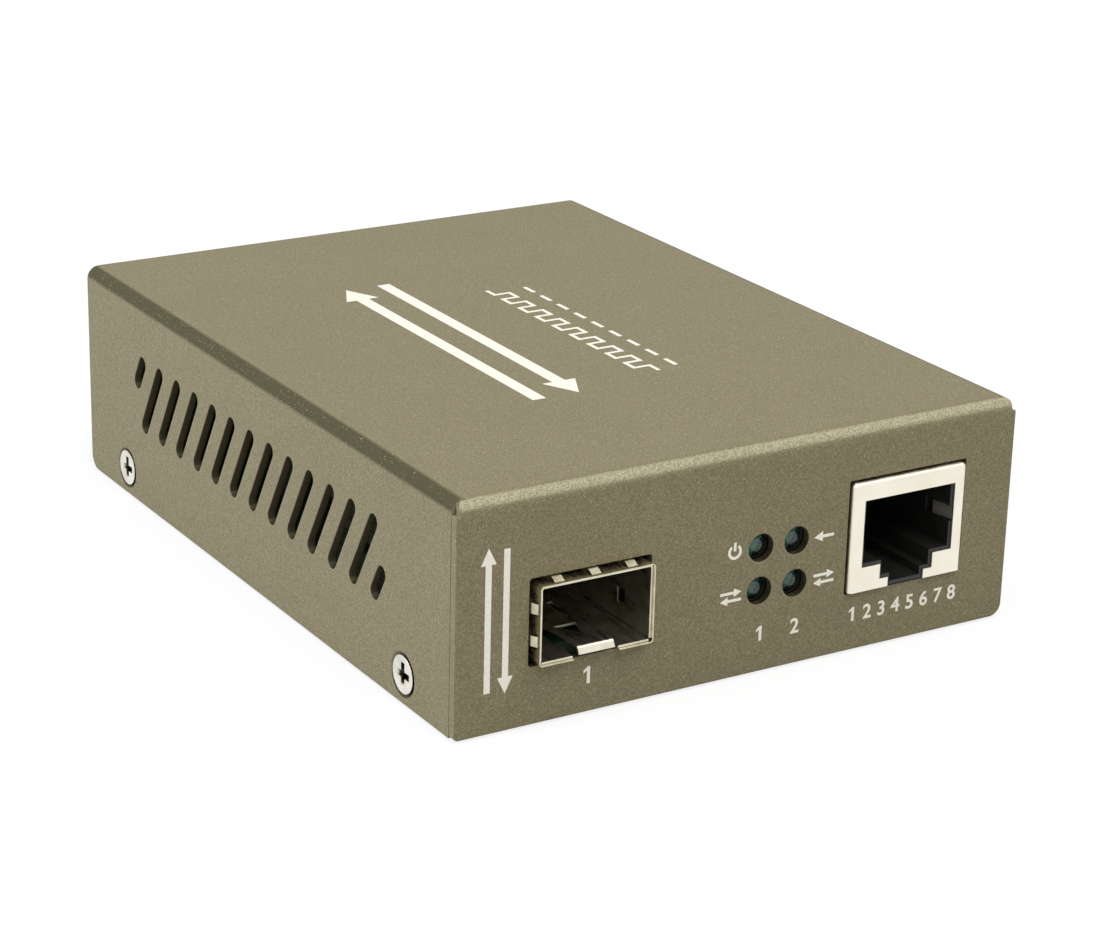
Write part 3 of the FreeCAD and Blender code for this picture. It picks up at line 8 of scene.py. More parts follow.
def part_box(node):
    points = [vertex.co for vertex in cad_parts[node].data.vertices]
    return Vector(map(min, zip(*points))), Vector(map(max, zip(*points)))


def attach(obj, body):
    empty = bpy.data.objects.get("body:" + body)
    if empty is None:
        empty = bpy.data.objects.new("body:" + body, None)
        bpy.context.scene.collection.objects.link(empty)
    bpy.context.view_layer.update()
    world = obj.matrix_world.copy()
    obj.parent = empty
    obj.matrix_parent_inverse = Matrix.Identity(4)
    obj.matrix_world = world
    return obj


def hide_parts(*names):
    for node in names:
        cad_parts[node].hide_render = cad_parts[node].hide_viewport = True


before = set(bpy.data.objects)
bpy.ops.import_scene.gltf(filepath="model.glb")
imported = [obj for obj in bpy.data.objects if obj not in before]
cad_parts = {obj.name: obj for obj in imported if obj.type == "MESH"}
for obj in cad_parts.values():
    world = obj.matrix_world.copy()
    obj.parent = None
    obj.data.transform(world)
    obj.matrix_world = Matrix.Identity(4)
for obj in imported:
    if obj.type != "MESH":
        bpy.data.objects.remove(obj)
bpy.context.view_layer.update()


# Studio
# A matt white sweep, a wide soft box overhead, a second one at the left, a small one in front for the
# glints and an even white room. Seen directly or in a reflection the sweep and the room read as white,
# and the sweep keeps the shadow.

def put(tree, kind, inputs=None, **settings):
    """New shader node with its settings, its inputs linked or set."""
    node = tree.nodes.new(kind)
    for name, value in settings.items():
        setattr(node, name, value)
    for socket, value in (inputs or {}).items():
        if isinstance(value, bpy.types.NodeSocket):
            tree.links.new(value, node.inputs[socket])
        else:
            node.inputs[socket].default_value = value
    return node


def seen_directly(tree):
    """One for rays from the camera, off a polished surface or through a lens, else zero."""
    path = put(tree, "ShaderNodeLightPath").outputs
    polished = put(tree, "ShaderNodeMath", {0: path["Is Camera Ray"], 1: path["Is Glossy Ray"]},
                   operation="MAXIMUM")
    return put(tree, "ShaderNodeMath", {0: polished.outputs[0], 1: path["Is Transmission Ray"]},
               operation="MAXIMUM").outputs[0]


room_level = 0.5
shown_level = 1.0
white = (1.0, 1.0, 1.0, 1.0)
bpy.context.scene.view_settings.view_transform = "Standard"
world = bpy.data.worlds.new("white_room")
world.use_nodes = True
bpy.context.scene.world = world
room = world.node_tree
room.nodes.clear()
lit_room = put(room, "ShaderNodeBackground", {"Color": white, "Strength": room_level})
white_room = put(room, "ShaderNodeBackground", {"Color": white, "Strength": shown_level})
either_room = put(room, "ShaderNodeMixShader", {0: seen_directly(room), 1: lit_room.outputs[0],
                                                2: white_room.outputs[0]})
put(room, "ShaderNodeOutputWorld", {"Surface": either_room.outputs[0]})

sweep_half = 4.0
sweep_paint = 0.62
sweep_glow = 0.8
sweep_shadow = 0.22
sweep_mesh = bpy.data.meshes.new("sweep")
sweep_mesh.from_pydata([(-sweep_half, -sweep_half, 0), (sweep_half, -sweep_half, 0),
                        (sweep_half, sweep_half, 0), (-sweep_half, sweep_half, 0)], [], [(0, 1, 2, 3)])
sweep = bpy.data.objects.new("sweep", sweep_mesh)
bpy.context.scene.collection.objects.link(sweep)
matt_white = bpy.data.materials.new("matt_white")
matt_white.use_nodes = True
tree = matt_white.node_tree
tree.nodes.clear()
lit = put(tree, "ShaderNodeBsdfDiffuse", {"Color": (sweep_paint, sweep_paint, sweep_paint, 1)})
glow = put(tree, "ShaderNodeEmission", {"Color": white, "Strength": sweep_glow})
shadow = put(tree, "ShaderNodeBsdfDiffuse", {"Color": (sweep_shadow, sweep_shadow, sweep_shadow, 1)})
shown = put(tree, "ShaderNodeAddShader", {0: glow.outputs[0], 1: shadow.outputs[0]})
either = put(tree, "ShaderNodeMixShader", {0: seen_directly(tree), 1: lit.outputs[0],
                                           2: shown.outputs[0]})
put(tree, "ShaderNodeOutputMaterial", {"Surface": either.outputs[0]})
sweep_mesh.materials.append(matt_white)


def soft_box(name, place, size, energy, tint=(1.0, 1.0, 1.0)):
    """Square soft box that faces the case."""
    lamp = bpy.data.lights.new(name, "AREA")
    lamp.shape = "SQUARE"
    lamp.size = size
    lamp.energy = energy
    lamp.color = tint
    stand = bpy.data.objects.new(name, lamp)
    stand.location = place
    stand.rotation_euler = Vector(place).to_track_quat("Z", "Y").to_euler()
    bpy.context.scene.collection.objects.link(stand)


soft_box("overhead_box", place=(0.1, -0.32, 0.8), size=0.7, energy=3.75)
soft_box("left_box", place=(-0.75, 0.2, 0.3), size=0.6, energy=4.7, tint=(0.93, 1.0, 1.12))
soft_box("small_box", place=(-0.25, -0.75, 0.75), size=0.2, energy=1.2)


# Camera
# A long lens looking down on the front left corner, level but for a slight roll.

mm = 0.001
view_azimuth = math.radians(-31.738)
view_elevation = math.radians(20.331)
view_roll = math.radians(1.457)
view_distance = 359.426 * mm
view_target = Vector((-4.059, -12.631, 13.5)) * mm
lens = 100.204
sensor = 36.0
towards_eye = Vector((math.sin(view_azimuth) * math.cos(view_elevation),
                      -math.cos(view_azimuth) * math.cos(view_elevation), math.sin(view_elevation)))
camera_data = bpy.data.cameras.new("camera")
camera_data.lens = lens
camera_data.sensor_width = sensor
camera_data.clip_start = 10 * mm
camera = bpy.data.objects.new("camera", camera_data)
camera.matrix_world = (Matrix.Translation(view_target + towards_eye * view_distance)
                       @ towards_eye.to_track_quat("Z", "Y").to_matrix().to_4x4()
                       @ Matrix.Rotation(view_roll, 4, "Z"))
bpy.context.scene.collection.objects.link(camera)
bpy.context.scene.camera = camera


# Cover and chassis
# Two folded steel sheets, the cover over the chassis, both powder coated in the same olive brown.
# The coat has a fine orange peel, a mottled tone and a few pale specks. Shade is painted over the side
# folds and on the walls of the punched holes, and highlights are painted over the front fold and edges.

def shade(red, green, blue):
    """Screen colour from 0 to 255 as the linear colour that a shader takes."""
    levels = [value / 255 for value in (red, green, blue)]
    return tuple(v / 12.92 if v <= 0.04045 else ((v + 0.055) / 1.055) ** 2.4 for v in levels) + (1.0,)


def new_group(name, inputs, outputs):
    """Empty shader group; returns its tree, what comes in and what goes out."""
    group = bpy.data.node_groups.new(name, "ShaderNodeTree")
    for label, value in inputs.items():
        socket = group.interface.new_socket(label, in_out="INPUT", socket_type="NodeSocketFloat")
        socket.default_value = value
    for label, kind in outputs.items():
        group.interface.new_socket(label, in_out="OUTPUT", socket_type="NodeSocket" + kind)
    return group, put(group, "NodeGroupInput").outputs, put(group, "NodeGroupOutput").inputs


def math_node(group, operation, first, second):
    """Result of one sum on two values."""
    return put(group, "ShaderNodeMath", {0: first, 1: second}, operation=operation).outputs[0]


def noise(group, place, scale, detail=2.0):
    """Even noise of a given scale."""
    inputs = {"Vector": place, "Scale": scale, "Detail": detail}
    return put(group, "ShaderNodeTexNoise", inputs).outputs["Fac"]


def stretch(group, value, low, high, to_low=0.0, to_high=1.0):
    """Value spread from one range to another and held at its ends."""
    return put(group, "ShaderNodeMapRange", {"Value": value, "From Min": low, "From Max": high,
                                             "To Min": to_low, "To Max": to_high}).outputs["Result"]


def spread(group, value, low=0.0, high=1.0):
    """Noise, which keeps near its middle, spread between two levels."""
    return stretch(group, value, 0.3, 0.7, low, high)


def blend_colours(group, share, first, second):
    """Colour between two, by a share of the second."""
    return put(group, "ShaderNodeMix", {0: share, 6: first, 7: second}, data_type="RGBA").outputs[2]


speck_starts = 0.74
speck_full = 0.80
coat_grain, given, gives = new_group(
    "coat_grain", {"Peel scale": 5600.0, "Mottle scale": 120.0, "Speck scale": 5200.0},
    {"Peel": "Float", "Mottle": "Float", "Specks": "Float"})
place = put(coat_grain, "ShaderNodeTexCoord").outputs["Object"]
peel = noise(coat_grain, place, given["Peel scale"], 1.0)
mottle = noise(coat_grain, place, given["Mottle scale"], 3.0)
speck_noise = noise(coat_grain, place, given["Speck scale"], 0.0)
specks = stretch(coat_grain, speck_noise, speck_starts, speck_full)
for label, value in (("Peel", peel), ("Mottle", mottle), ("Specks", specks)):
    coat_grain.links.new(value, gives[label])


def size_of(group, value):
    """Value without its sign."""
    return put(group, "ShaderNodeMath", {0: value}, operation="ABSOLUTE").outputs[0]


def parts_of(group, vector):
    """The three parts of a vector."""
    return put(group, "ShaderNodeSeparateXYZ", {0: vector}).outputs


def facing_of(group):
    """The three parts of the true normal."""
    return parts_of(group, put(group, "ShaderNodeNewGeometry").outputs["True Normal"])


# Masks of the side folds, painted darker as shade, and of the front fold, painted lighter as a highlight.
fold_light_and_shade, given, gives = new_group("fold_light_and_shade", {}, {"Side fold": "Float", "Front fold": "Float"})
facing = facing_of(fold_light_and_shade)
for label, axis, starts, full in (("Side fold", "X", 0.06, 0.3), ("Front fold", "Y", 0.28, 0.44)):
    turned_over = math_node(fold_light_and_shade, "MULTIPLY", size_of(fold_light_and_shade, facing[axis]), facing["Z"])
    fold_light_and_shade.links.new(stretch(fold_light_and_shade, turned_over, starts, full), gives[label])

# Mask of the walls of holes cut through the front and the sides, which are painted dark as shade.
bare_above = 1.5 * mm
bare_below = 25.0 * mm
corner_kept = 2.0 * mm
edge_on = 0.3
cut_wall_shade, given, gives = new_group(
    "cut_wall_shade", {"Half width": 36.5 * mm, "Front": -47.25 * mm, "Thickness": 1.05 * mm},
    {"Cut wall": "Float"})
where = parts_of(cut_wall_shade, put(cut_wall_shade, "ShaderNodeTexCoord").outputs["Object"])
facing = facing_of(cut_wall_shade)
behind = math_node(cut_wall_shade, "SUBTRACT", where["Y"], given["Front"])
inward = math_node(cut_wall_shade, "SUBTRACT", given["Half width"], size_of(cut_wall_shade, where["X"]))
levels = math_node(cut_wall_shade, "MULTIPLY", math_node(cut_wall_shade, "GREATER_THAN", where["Z"], bare_above),
                   math_node(cut_wall_shade, "LESS_THAN", where["Z"], bare_below))
walls = []
for depth, across, axis in ((behind, inward, "Y"), (inward, behind, "X")):
    square_on = math_node(cut_wall_shade, "LESS_THAN", size_of(cut_wall_shade, facing[axis]), edge_on)
    within = math_node(cut_wall_shade, "MULTIPLY", square_on,
                       math_node(cut_wall_shade, "LESS_THAN", depth, given["Thickness"]))
    clear_of_corner = math_node(cut_wall_shade, "GREATER_THAN", across, corner_kept)
    walls.append(math_node(cut_wall_shade, "MULTIPLY", within, clear_of_corner))
either_wall = math_node(cut_wall_shade, "MAXIMUM", *walls)
cut_wall_shade.links.new(math_node(cut_wall_shade, "MULTIPLY", either_wall, levels), gives["Cut wall"])

# Mask of the edges, which the finishes paint lighter as a highlight, and the normal of a rounded edge.
edge_line, given, gives = new_group("edge_line", {"Radius": 0.3 * mm, "Sharpness": 6.0},
                                    {"Edge": "Float", "Soft normal": "Vector"})
rounded = put(edge_line, "ShaderNodeBevel", {"Radius": given["Radius"]}, samples=6).outputs[0]
true_normal = put(edge_line, "ShaderNodeNewGeometry").outputs["Normal"]
agree = put(edge_line, "ShaderNodeVectorMath", {0: rounded, 1: true_normal}, operation="DOT_PRODUCT")
apart = math_node(edge_line, "SUBTRACT", 1.0, agree.outputs["Value"])
edge = put(edge_line, "ShaderNodeMath", {0: apart, 1: given["Sharpness"]}, operation="MULTIPLY",
           use_clamp=True)
edge_line.links.new(edge.outputs[0], gives["Edge"])
edge_line.links.new(rounded, gives["Soft normal"])


def new_finish(name, metallic, roughness):
    """Material with a plain shader; returns it, its tree and its shader's inputs."""
    material = bpy.data.materials.new(name)
    material.use_nodes = True
    shader = material.node_tree.nodes["Principled BSDF"].inputs
    shader["Metallic"].default_value = metallic
    shader["Roughness"].default_value = roughness
    return material, material.node_tree, shader


def place_group(tree, group, **inputs):
    """Shader group placed in a material with its own values; returns what it gives."""
    values = {name.replace("_", " "): value for name, value in inputs.items()}
    node = put(tree, "ShaderNodeGroup", node_tree=group)
    for name, value in values.items():
        node.inputs[name].default_value = value
    return node.outputs


def raise_grain(tree, shader, height, depth, normal=None):
    """Fine relief of a given depth on the surface."""
    inputs = {"Height": height, "Distance": depth, "Strength": 1.0}
    if normal is not None:
        inputs["Normal"] = normal
    tree.links.new(put(tree, "ShaderNodeBump", inputs).outputs[0], shader["Normal"])


def dress(material, *nodes):
    """Gives a finish to pieces of the frame."""
    for node in nodes:
        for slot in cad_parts[node].material_slots:
            slot.material = material


def powder_coat(name, tone, shadow_tone, speck_and_highlight_tone, painted_fold_shade):
    """Thick matt coat of baked powder. Shade is painted on the side folds and the punched holes' walls,
    and highlights on the front fold and along the edges.
    """
    cloud_share = 0.15
    side_fold_shade_share = 0.9
    speck_share = 0.4
    edge_highlight_share = 0.2
    cut_wall_shade_share = 0.75
    cut_wall_shade_tone = shade(44, 38, 26)
    rough_hollow = 0.56
    rough_crest = 0.44
    sheen = 0.04
    peel_depth = 0.012 * mm
    material, tree, shader = new_finish(name, metallic=0.0, roughness=0.5)
    grain = place_group(tree, coat_grain)
    line = place_group(tree, edge_line)
    fold = place_group(tree, fold_light_and_shade)
    cut = place_group(tree, cut_wall_shade)
    light_and_dark = spread(tree, grain["Peel"])
    ground = blend_colours(tree, light_and_dark, shadow_tone, tone)
    cloudy = spread(tree, grain["Mottle"], 0.0, cloud_share)
    ground = blend_colours(tree, cloudy, ground, shadow_tone)
    front_fold_highlight = stretch(tree, grain["Peel"], 0.35, 0.65, 0.25, 0.75)
    # Painted shade on the side folds and cut walls, painted highlights on the front fold and edges; the pale
    # specks are the coat's own.
    for mask, share, over in ((fold["Side fold"], side_fold_shade_share, painted_fold_shade),
                              (fold["Front fold"], front_fold_highlight, speck_and_highlight_tone),
                              (grain["Specks"], speck_share, speck_and_highlight_tone),
                              (line["Edge"], edge_highlight_share, speck_and_highlight_tone),
                              (cut["Cut wall"], cut_wall_shade_share, cut_wall_shade_tone)):
        ground = blend_colours(tree, math_node(tree, "MULTIPLY", mask, share), ground, over)
    tree.links.new(ground, shader["Base Color"])
    tree.links.new(spread(tree, grain["Peel"], rough_hollow, rough_crest), shader["Roughness"])
    shader["Specular IOR Level"].default_value = sheen
    raise_grain(tree, shader, grain["Peel"], peel_depth, line["Soft normal"])
    return material


# The last two colours are the pale specks, also used for the painted highlights, and the painted shade of
# the side folds.
cover_paint = powder_coat("cover_paint", shade(147, 138, 109), shade(119, 111, 86), shade(205, 198, 166),
                          shade(72, 68, 48))
chassis_paint = powder_coat("chassis_paint", shade(144, 136, 108), shade(117, 110, 86), shade(200, 193, 163),
                            shade(84, 79, 58))
dress(cover_paint, "top_cover")
dress(chassis_paint, "base_chassis")


# Printed marks
# Screen-printed ink on the top and the front: plain numbers, arrows, a square wave with a row of
# dashes and a broken ring. Each mark is a layer of cream-white ink that stands a hundredth of a
# millimetre above the paint.

ink_below = 0.005 * mm
ink_above = 0.012 * mm
number_height = 0.7
number_weight = 0.028
cover_low, cover_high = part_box("top_cover")


def on_top(u, v, height):
    """Point on the top: u to the right, v to the rear."""
    return Vector((u * mm, v * mm, cover_high.z + height))


def on_front(u, v, height):
    """Point on the front: u to the right, v upwards."""
    return Vector((u * mm, cover_low.y - height, v * mm))


def bar(u, v, width, length):
    """Outline of a rectangle about a middle."""
    return [(u - width / 2, v - length / 2), (u + width / 2, v - length / 2),
            (u + width / 2, v + length / 2), (u - width / 2, v + length / 2)]


def arrow(u, tail, tip, shaft, head):
    """Outline of an arrow along v from tail to tip."""
    way = 1 if tip > tail else -1
    neck = tip - way * head
    return [(u - shaft / 2, tail), (u - shaft / 2, neck), (u - head / 2, neck), (u, tip),
            (u + head / 2, neck), (u + shaft / 2, neck), (u + shaft / 2, tail)]


def turned_flat(outline):
    """Outline laid on its side: what ran along v runs along u."""
    return [(v, u) for u, v in outline]


def moved(outline, u, v):
    """Outline shifted to a place."""
    return [(point[0] + u, point[1] + v) for point in outline]


def ring(u, v, radius, line, start, end, steps=28):
    """Outline of an open ring between two angles."""
    turns = [math.radians(start + (end - start) * index / steps) for index in range(steps + 1)]
    outer, inner = ([(u + reach * math.cos(turn), v + reach * math.sin(turn)) for turn in turns]
                    for reach in (radius, radius - line))
    return outer + inner[::-1]


def ribbon(points, line):
    """Outline of a line of one width along a path with sharp corners."""
    path = [Vector(point) for point in points]
    left = []
    right = []
    for index, point in enumerate(path):
        into = (point - path[max(index - 1, 0)]).normalized()
        out = (path[min(index + 1, len(path) - 1)] - point).normalized()
        if index == 0:
            into = out
        if index == len(path) - 1:
            out = into
        aside = Vector((-into.y - out.y, into.x + out.x)) / (1 + into.dot(out))
        left.append(tuple(point + aside * line / 2))
        right.append(tuple(point - aside * line / 2))
    return left + right[::-1]


def pulse(u, first, last, height, count):
    """Path of a square wave along v."""
    step = (last - first) / (2 * count)
    path = []
    for index in range(2 * count):
        level = u + (height if index % 2 == 0 else 0)
        path += [(level, first + index * step), (level, first + (index + 1) * step)]
    return path


def one(u, v, height, stroke):
    """Outline of the number one with its flag, its foot at v."""
    flag = height * 0.32
    flag_top = v + height * 0.8
    flag_foot = v + height * 0.62
    notch = v + height * 0.76
    return [(u - stroke / 2, v), (u + stroke / 2, v), (u + stroke / 2, v + height),
            (u - stroke / 4, v + height), (u - flag, flag_top), (u - flag, flag_foot),
            (u - stroke / 2, notch)]


def numeral(text, u, v, height, place):
    """Mesh of a plain number, standing at u with its foot at v."""
    curve = bpy.data.curves.new("numeral", "FONT")
    curve.body = text
    curve.align_x = "CENTER"
    curve.size = height / number_height
    curve.offset = height * number_weight
    curve.extrude = 0.5
    stand_in = bpy.data.objects.new("numeral", curve)
    mesh = bpy.data.meshes.new_from_object(stand_in)
    bpy.data.objects.remove(stand_in)
    for vertex in mesh.vertices:
        level = ink_above if vertex.co.z > 0 else -ink_below
        vertex.co = place(u + vertex.co.x, v + vertex.co.y, level)
    return mesh


def inked(name, outlines, numerals, place):
    """Piece made of every mark on one face."""
    marks = bmesh.new()
    for outline in outlines:
        under = [marks.verts.new(place(u, v, -ink_below)) for u, v in outline]
        over = [marks.verts.new(place(u, v, ink_above)) for u, v in outline]
        marks.faces.new(under)
        marks.faces.new(over)
        for index in range(len(outline)):
            following = (index + 1) % len(outline)
            marks.faces.new((under[index], under[following], over[following], over[index]))
    for mesh in numerals:
        marks.from_mesh(mesh)
        bpy.data.meshes.remove(mesh)
    bmesh.ops.remove_doubles(marks, verts=marks.verts, dist=1e-7)
    bmesh.ops.recalc_face_normals(marks, faces=marks.faces)
    mesh = bpy.data.meshes.new(name)
    marks.to_mesh(mesh)
    marks.free()
    piece = bpy.data.objects.new(name, mesh)
    bpy.context.scene.collection.objects.link(piece)
    return piece


def print_ink():
    """Cream-white screen ink, thin enough for the coat's grain to show in it."""
    material, tree, shader = new_finish("print_ink", metallic=0.0, roughness=0.42)
    grain = place_group(tree, coat_grain, Peel_scale=2600.0, Mottle_scale=900.0)
    ink = blend_colours(tree, spread(tree, grain["Peel"]), shade(236, 232, 214),
                        shade(245, 241, 226))
    worn = stretch(tree, grain["Mottle"], 0.55, 0.8, 0.0, 0.35)
    ink = blend_colours(tree, worn, ink, shade(228, 222, 198))
    tree.links.new(ink, shader["Base Color"])
    raise_grain(tree, shader, grain["Peel"], 0.015 * mm)
    return material


ink = print_ink()
wave_starts = -20.5
wave_ends = 15.5
wave_count = 9
wave_pitch = (wave_ends - wave_starts) / wave_count
top_marks = [arrow(u=-12.1, tail=-23.0, tip=23.5, shaft=1.7, head=4.4),
             arrow(u=-6.9, tail=23.5, tip=-23.0, shaft=1.7, head=4.4)]
top_marks += [ribbon(pulse(3.4, wave_starts, wave_ends, height=2.1, count=wave_count), line=0.5)]
top_marks += [bar(8.4, wave_starts + wave_pitch * (index + 0.5), width=0.55, length=2.4)
              for index in range(wave_count)]

front_marks = [arrow(u=-32.6, tail=5.0, tip=21.4, shaft=0.75, head=1.9),
               arrow(u=-30.4, tail=21.0, tip=4.6, shaft=0.75, head=1.9)]
power_u = -1.6
front_marks += [ring(power_u, 15.2, radius=0.9, line=0.34, start=125, end=415),
                bar(power_u, 15.8, width=0.34, length=1.0)]
link_mark = [turned_flat(arrow(u=0.45, tail=-1.4, tip=1.4, shaft=0.34, head=1.0)),
             turned_flat(arrow(u=-0.45, tail=1.4, tip=-1.4, shaft=0.34, head=1.0))]
for link_u, link_v in ((-1.9, 9.95), (10.6, 9.85)):
    front_marks += [moved(outline, link_u, link_v) for outline in link_mark]
front_marks += [turned_flat(arrow(u=14.9, tail=11.7, tip=9.0, shaft=0.36, head=1.2))]

bay_number_foot = 3.55
lamp_number_foot = 3.95
port_number_foot = 3.75
lamp_number_height = 1.75
port_number_height = 1.7
port_number_pitch = 2.0
port_number_first = 15.0
front_marks += [one(-20.0, bay_number_foot, height=2.0, stroke=0.4),
                one(2.3, lamp_number_foot, lamp_number_height, stroke=0.38),
                one(port_number_first, port_number_foot, port_number_height, stroke=0.36)]
front_numbers = [numeral("2", 6.95, lamp_number_foot, lamp_number_height, on_front)]
front_numbers += [numeral(str(number), port_number_first + port_number_pitch * (number - 1),
                          port_number_foot, port_number_height, on_front) for number in range(2, 9)]
for printed in (inked("top_print", top_marks, [], on_top),
                inked("front_print", front_marks, front_numbers, on_front)):
    printed.data.materials.append(ink)
    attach(printed, "case")


# Cover screws
# Four countersunk steel screws with a cross recess, nickel plated, two in each side. The heads are
# bright and finely streaked, and the recesses are painted dark as shade.

plated_grain, given, gives = new_group(
    "plated_grain", {"Streak scale": 900.0, "Stretch": 0.12, "Blotch scale": 420.0},
    {"Streak": "Float", "Blotch": "Float"})
place = put(plated_grain, "ShaderNodeTexCoord").outputs["Object"]
narrow = put(plated_grain, "ShaderNodeCombineXYZ", {0: 1.0, 1: given["Stretch"], 2: 1.0}).outputs[0]
drawn = put(plated_grain, "ShaderNodeVectorMath", {0: place, 1: narrow}, operation="MULTIPLY").outputs[0]
plated_grain.links.new(noise(plated_grain, drawn, given["Streak scale"], 4.0), gives["Streak"])
plated_grain.links.new(noise(plated_grain, place, given["Blotch scale"], 3.0), gives["Blotch"])


def plated(name, tone, dull_tone, roughness, depth, **grain_values):
    """Bare or plated metal with a fine grain and a painted highlight along its edges."""
    material, tree, shader = new_finish(name, metallic=1.0, roughness=roughness)
    grain = place_group(tree, plated_grain, **grain_values)
    line = place_group(tree, edge_line, Radius=0.06 * mm)
    metal = blend_colours(tree, stretch(tree, grain["Blotch"], 0.35, 0.7), tone, dull_tone)
    # Edges painted a little brighter as a highlight.
    metal = blend_colours(tree, math_node(tree, "MULTIPLY", line["Edge"], 0.3), metal, tone)
    tree.links.new(metal, shader["Base Color"])
    drawn_rough = spread(tree, grain["Streak"], roughness * 0.8, roughness * 1.25)
    tree.links.new(drawn_rough, shader["Roughness"])
    raise_grain(tree, shader, grain["Streak"], depth, line["Soft normal"])
    return material


def darker_inside(material, face, tone, starts=0.08 * mm, full=0.35 * mm):
    """Paints shade on what lies deeper than a face on either side of the case, for the shadow in recesses.
    """
    tree = material.node_tree
    base = tree.nodes["Principled BSDF"].inputs["Base Color"]
    across = parts_of(tree, put(tree, "ShaderNodeTexCoord").outputs["Object"])["X"]
    inside = stretch(tree, size_of(tree, across), face - full, face - starts, 1.0, 0.0)
    tree.links.new(blend_colours(tree, inside, base.links[0].from_socket, tone), base)


screw_nickel = plated("screw_nickel", shade(236, 232, 222), shade(214, 208, 194),
                      roughness=0.3, depth=0.004 * mm)
recess_shaded_screw_nickel = plated("recess_shaded_screw_nickel", shade(236, 232, 222), shade(210, 204, 190),
                           roughness=0.3, depth=0.004 * mm)
darker_inside(recess_shaded_screw_nickel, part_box("cover_screws")[1].x, shade(58, 55, 48))
dress(recess_shaded_screw_nickel, "cover_screws")
dress(screw_nickel, "board_screws")


# Module cage
# Shell, floor and earthing collar, each stamped and folded from thin copper alloy and plated. The
# collar is pushed over the cage's mouth and is a little duller and warmer.

cage_metal = plated("cage_metal", shade(232, 227, 208), shade(206, 200, 178),
                    roughness=0.3, depth=0.006 * mm, Streak_scale=1400.0)
collar_metal = plated("collar_metal", shade(222, 216, 192), shade(192, 186, 160),
                      roughness=0.27, depth=0.005 * mm, Streak_scale=1600.0, Blotch_scale=700.0)
dress(cage_metal, "sfp_cage_shell", "sfp_cage_base")
dress(collar_metal, "sfp_spring_fingers")


# Edge connector in the cage
# Moulded glass-filled block, near black, with two rows of gold-flashed leaf contacts.

moulded_skin, given, gives = new_group("moulded_skin", {"Grain scale": 3200.0, "Flow scale": 180.0},
                                       {"Grain": "Float", "Flow": "Float"})
place = put(moulded_skin, "ShaderNodeTexCoord").outputs["Object"]
moulded_skin.links.new(noise(moulded_skin, place, given["Grain scale"], 2.0), gives["Grain"])
moulded_skin.links.new(noise(moulded_skin, place, given["Flow scale"], 3.0), gives["Flow"])


def moulding(name, tone, grey_tone, roughness, depth, **skin_values):
    """Injection-moulded plastic with a spark-eroded skin and a painted highlight along its edges."""
    material, tree, shader = new_finish(name, metallic=0.0, roughness=roughness)
    skin = place_group(tree, moulded_skin, **skin_values)
    line = place_group(tree, edge_line, Radius=0.12 * mm)
    plastic = blend_colours(tree, stretch(tree, skin["Flow"], 0.35, 0.7), tone, grey_tone)
    # Edges painted a little lighter as a highlight.
    plastic = blend_colours(tree, math_node(tree, "MULTIPLY", line["Edge"], 0.35), plastic, grey_tone)
    tree.links.new(plastic, shader["Base Color"])
    uneven = spread(tree, skin["Grain"], roughness * 0.85, roughness * 1.2)
    tree.links.new(uneven, shader["Roughness"])
    raise_grain(tree, shader, skin["Grain"], depth, line["Soft normal"])
    return material


black_moulding = moulding("black_moulding", shade(24, 23, 21), shade(38, 37, 34),
                          roughness=0.42, depth=0.01 * mm)
gold_flash = plated("gold_flash", shade(226, 184, 96), shade(198, 152, 70),
                    roughness=0.22, depth=0.002 * mm)
dress(black_moulding, "sfp_connector_housing")
dress(gold_flash, "sfp_connector_contacts")


# Copper port
# Bright tinned shield folded round a black moulded insert, which holds eight gold-flashed spring
# wires. The shield's face is smooth and nearly white under soft light.

shield_tin = plated("shield_tin", shade(243, 237, 222), shade(236, 229, 212),
                    roughness=0.34, depth=0.003 * mm, Streak_scale=500.0, Blotch_scale=240.0)
dress(shield_tin, "rj45_shield")
dress(black_moulding, "rj45_housing")
dress(gold_flash, "rj45_contacts")


# Indicator lamps
# Four cast epoxy lamps, tinted dark green and unlit, pushed into one black holder. Through each
# dome the metal cup and the post behind it can be made out.

lens_steps = 48
dome_steps = 12
flange_depth = 1.0 * mm
rim = 0.12 * mm
barrel_radius = 1.45 * mm
cup_depth = 2.0 * mm
cup_outside = 0.95 * mm
cup_inside = 0.45 * mm
cup_height = 0.9 * mm
cup_lip = 0.1 * mm
cup_floor_share = 0.45
post_width = 0.45 * mm


def turned(name, centre, profile):
    """Mesh turned about a line along Y; the profile gives distance behind the centre and radius."""
    mesh = bmesh.new()
    rings = []
    for depth, radius in profile:
        if radius == 0:
            rings.append([mesh.verts.new(centre + Vector((0, depth, 0)))])
            continue
        turns = [2 * math.pi * index / lens_steps for index in range(lens_steps)]
        places = [Vector((radius * math.cos(turn), depth, radius * math.sin(turn))) for turn in turns]
        rings.append([mesh.verts.new(centre + place) for place in places])
    for near, far in zip(rings, rings[1:]):
        for index in range(lens_steps):
            following = (index + 1) % lens_steps
            corners = [near[index % len(near)], near[following % len(near)],
                       far[following % len(far)], far[index % len(far)]]
            mesh.faces.new(list(dict.fromkeys(corners)))
    bmesh.ops.recalc_face_normals(mesh, faces=mesh.faces)
    for face in mesh.faces:
        face.smooth = True
    data = bpy.data.meshes.new(name)
    mesh.to_mesh(data)
    mesh.free()
    piece = bpy.data.objects.new(name, data)
    bpy.context.scene.collection.objects.link(piece)
    return piece


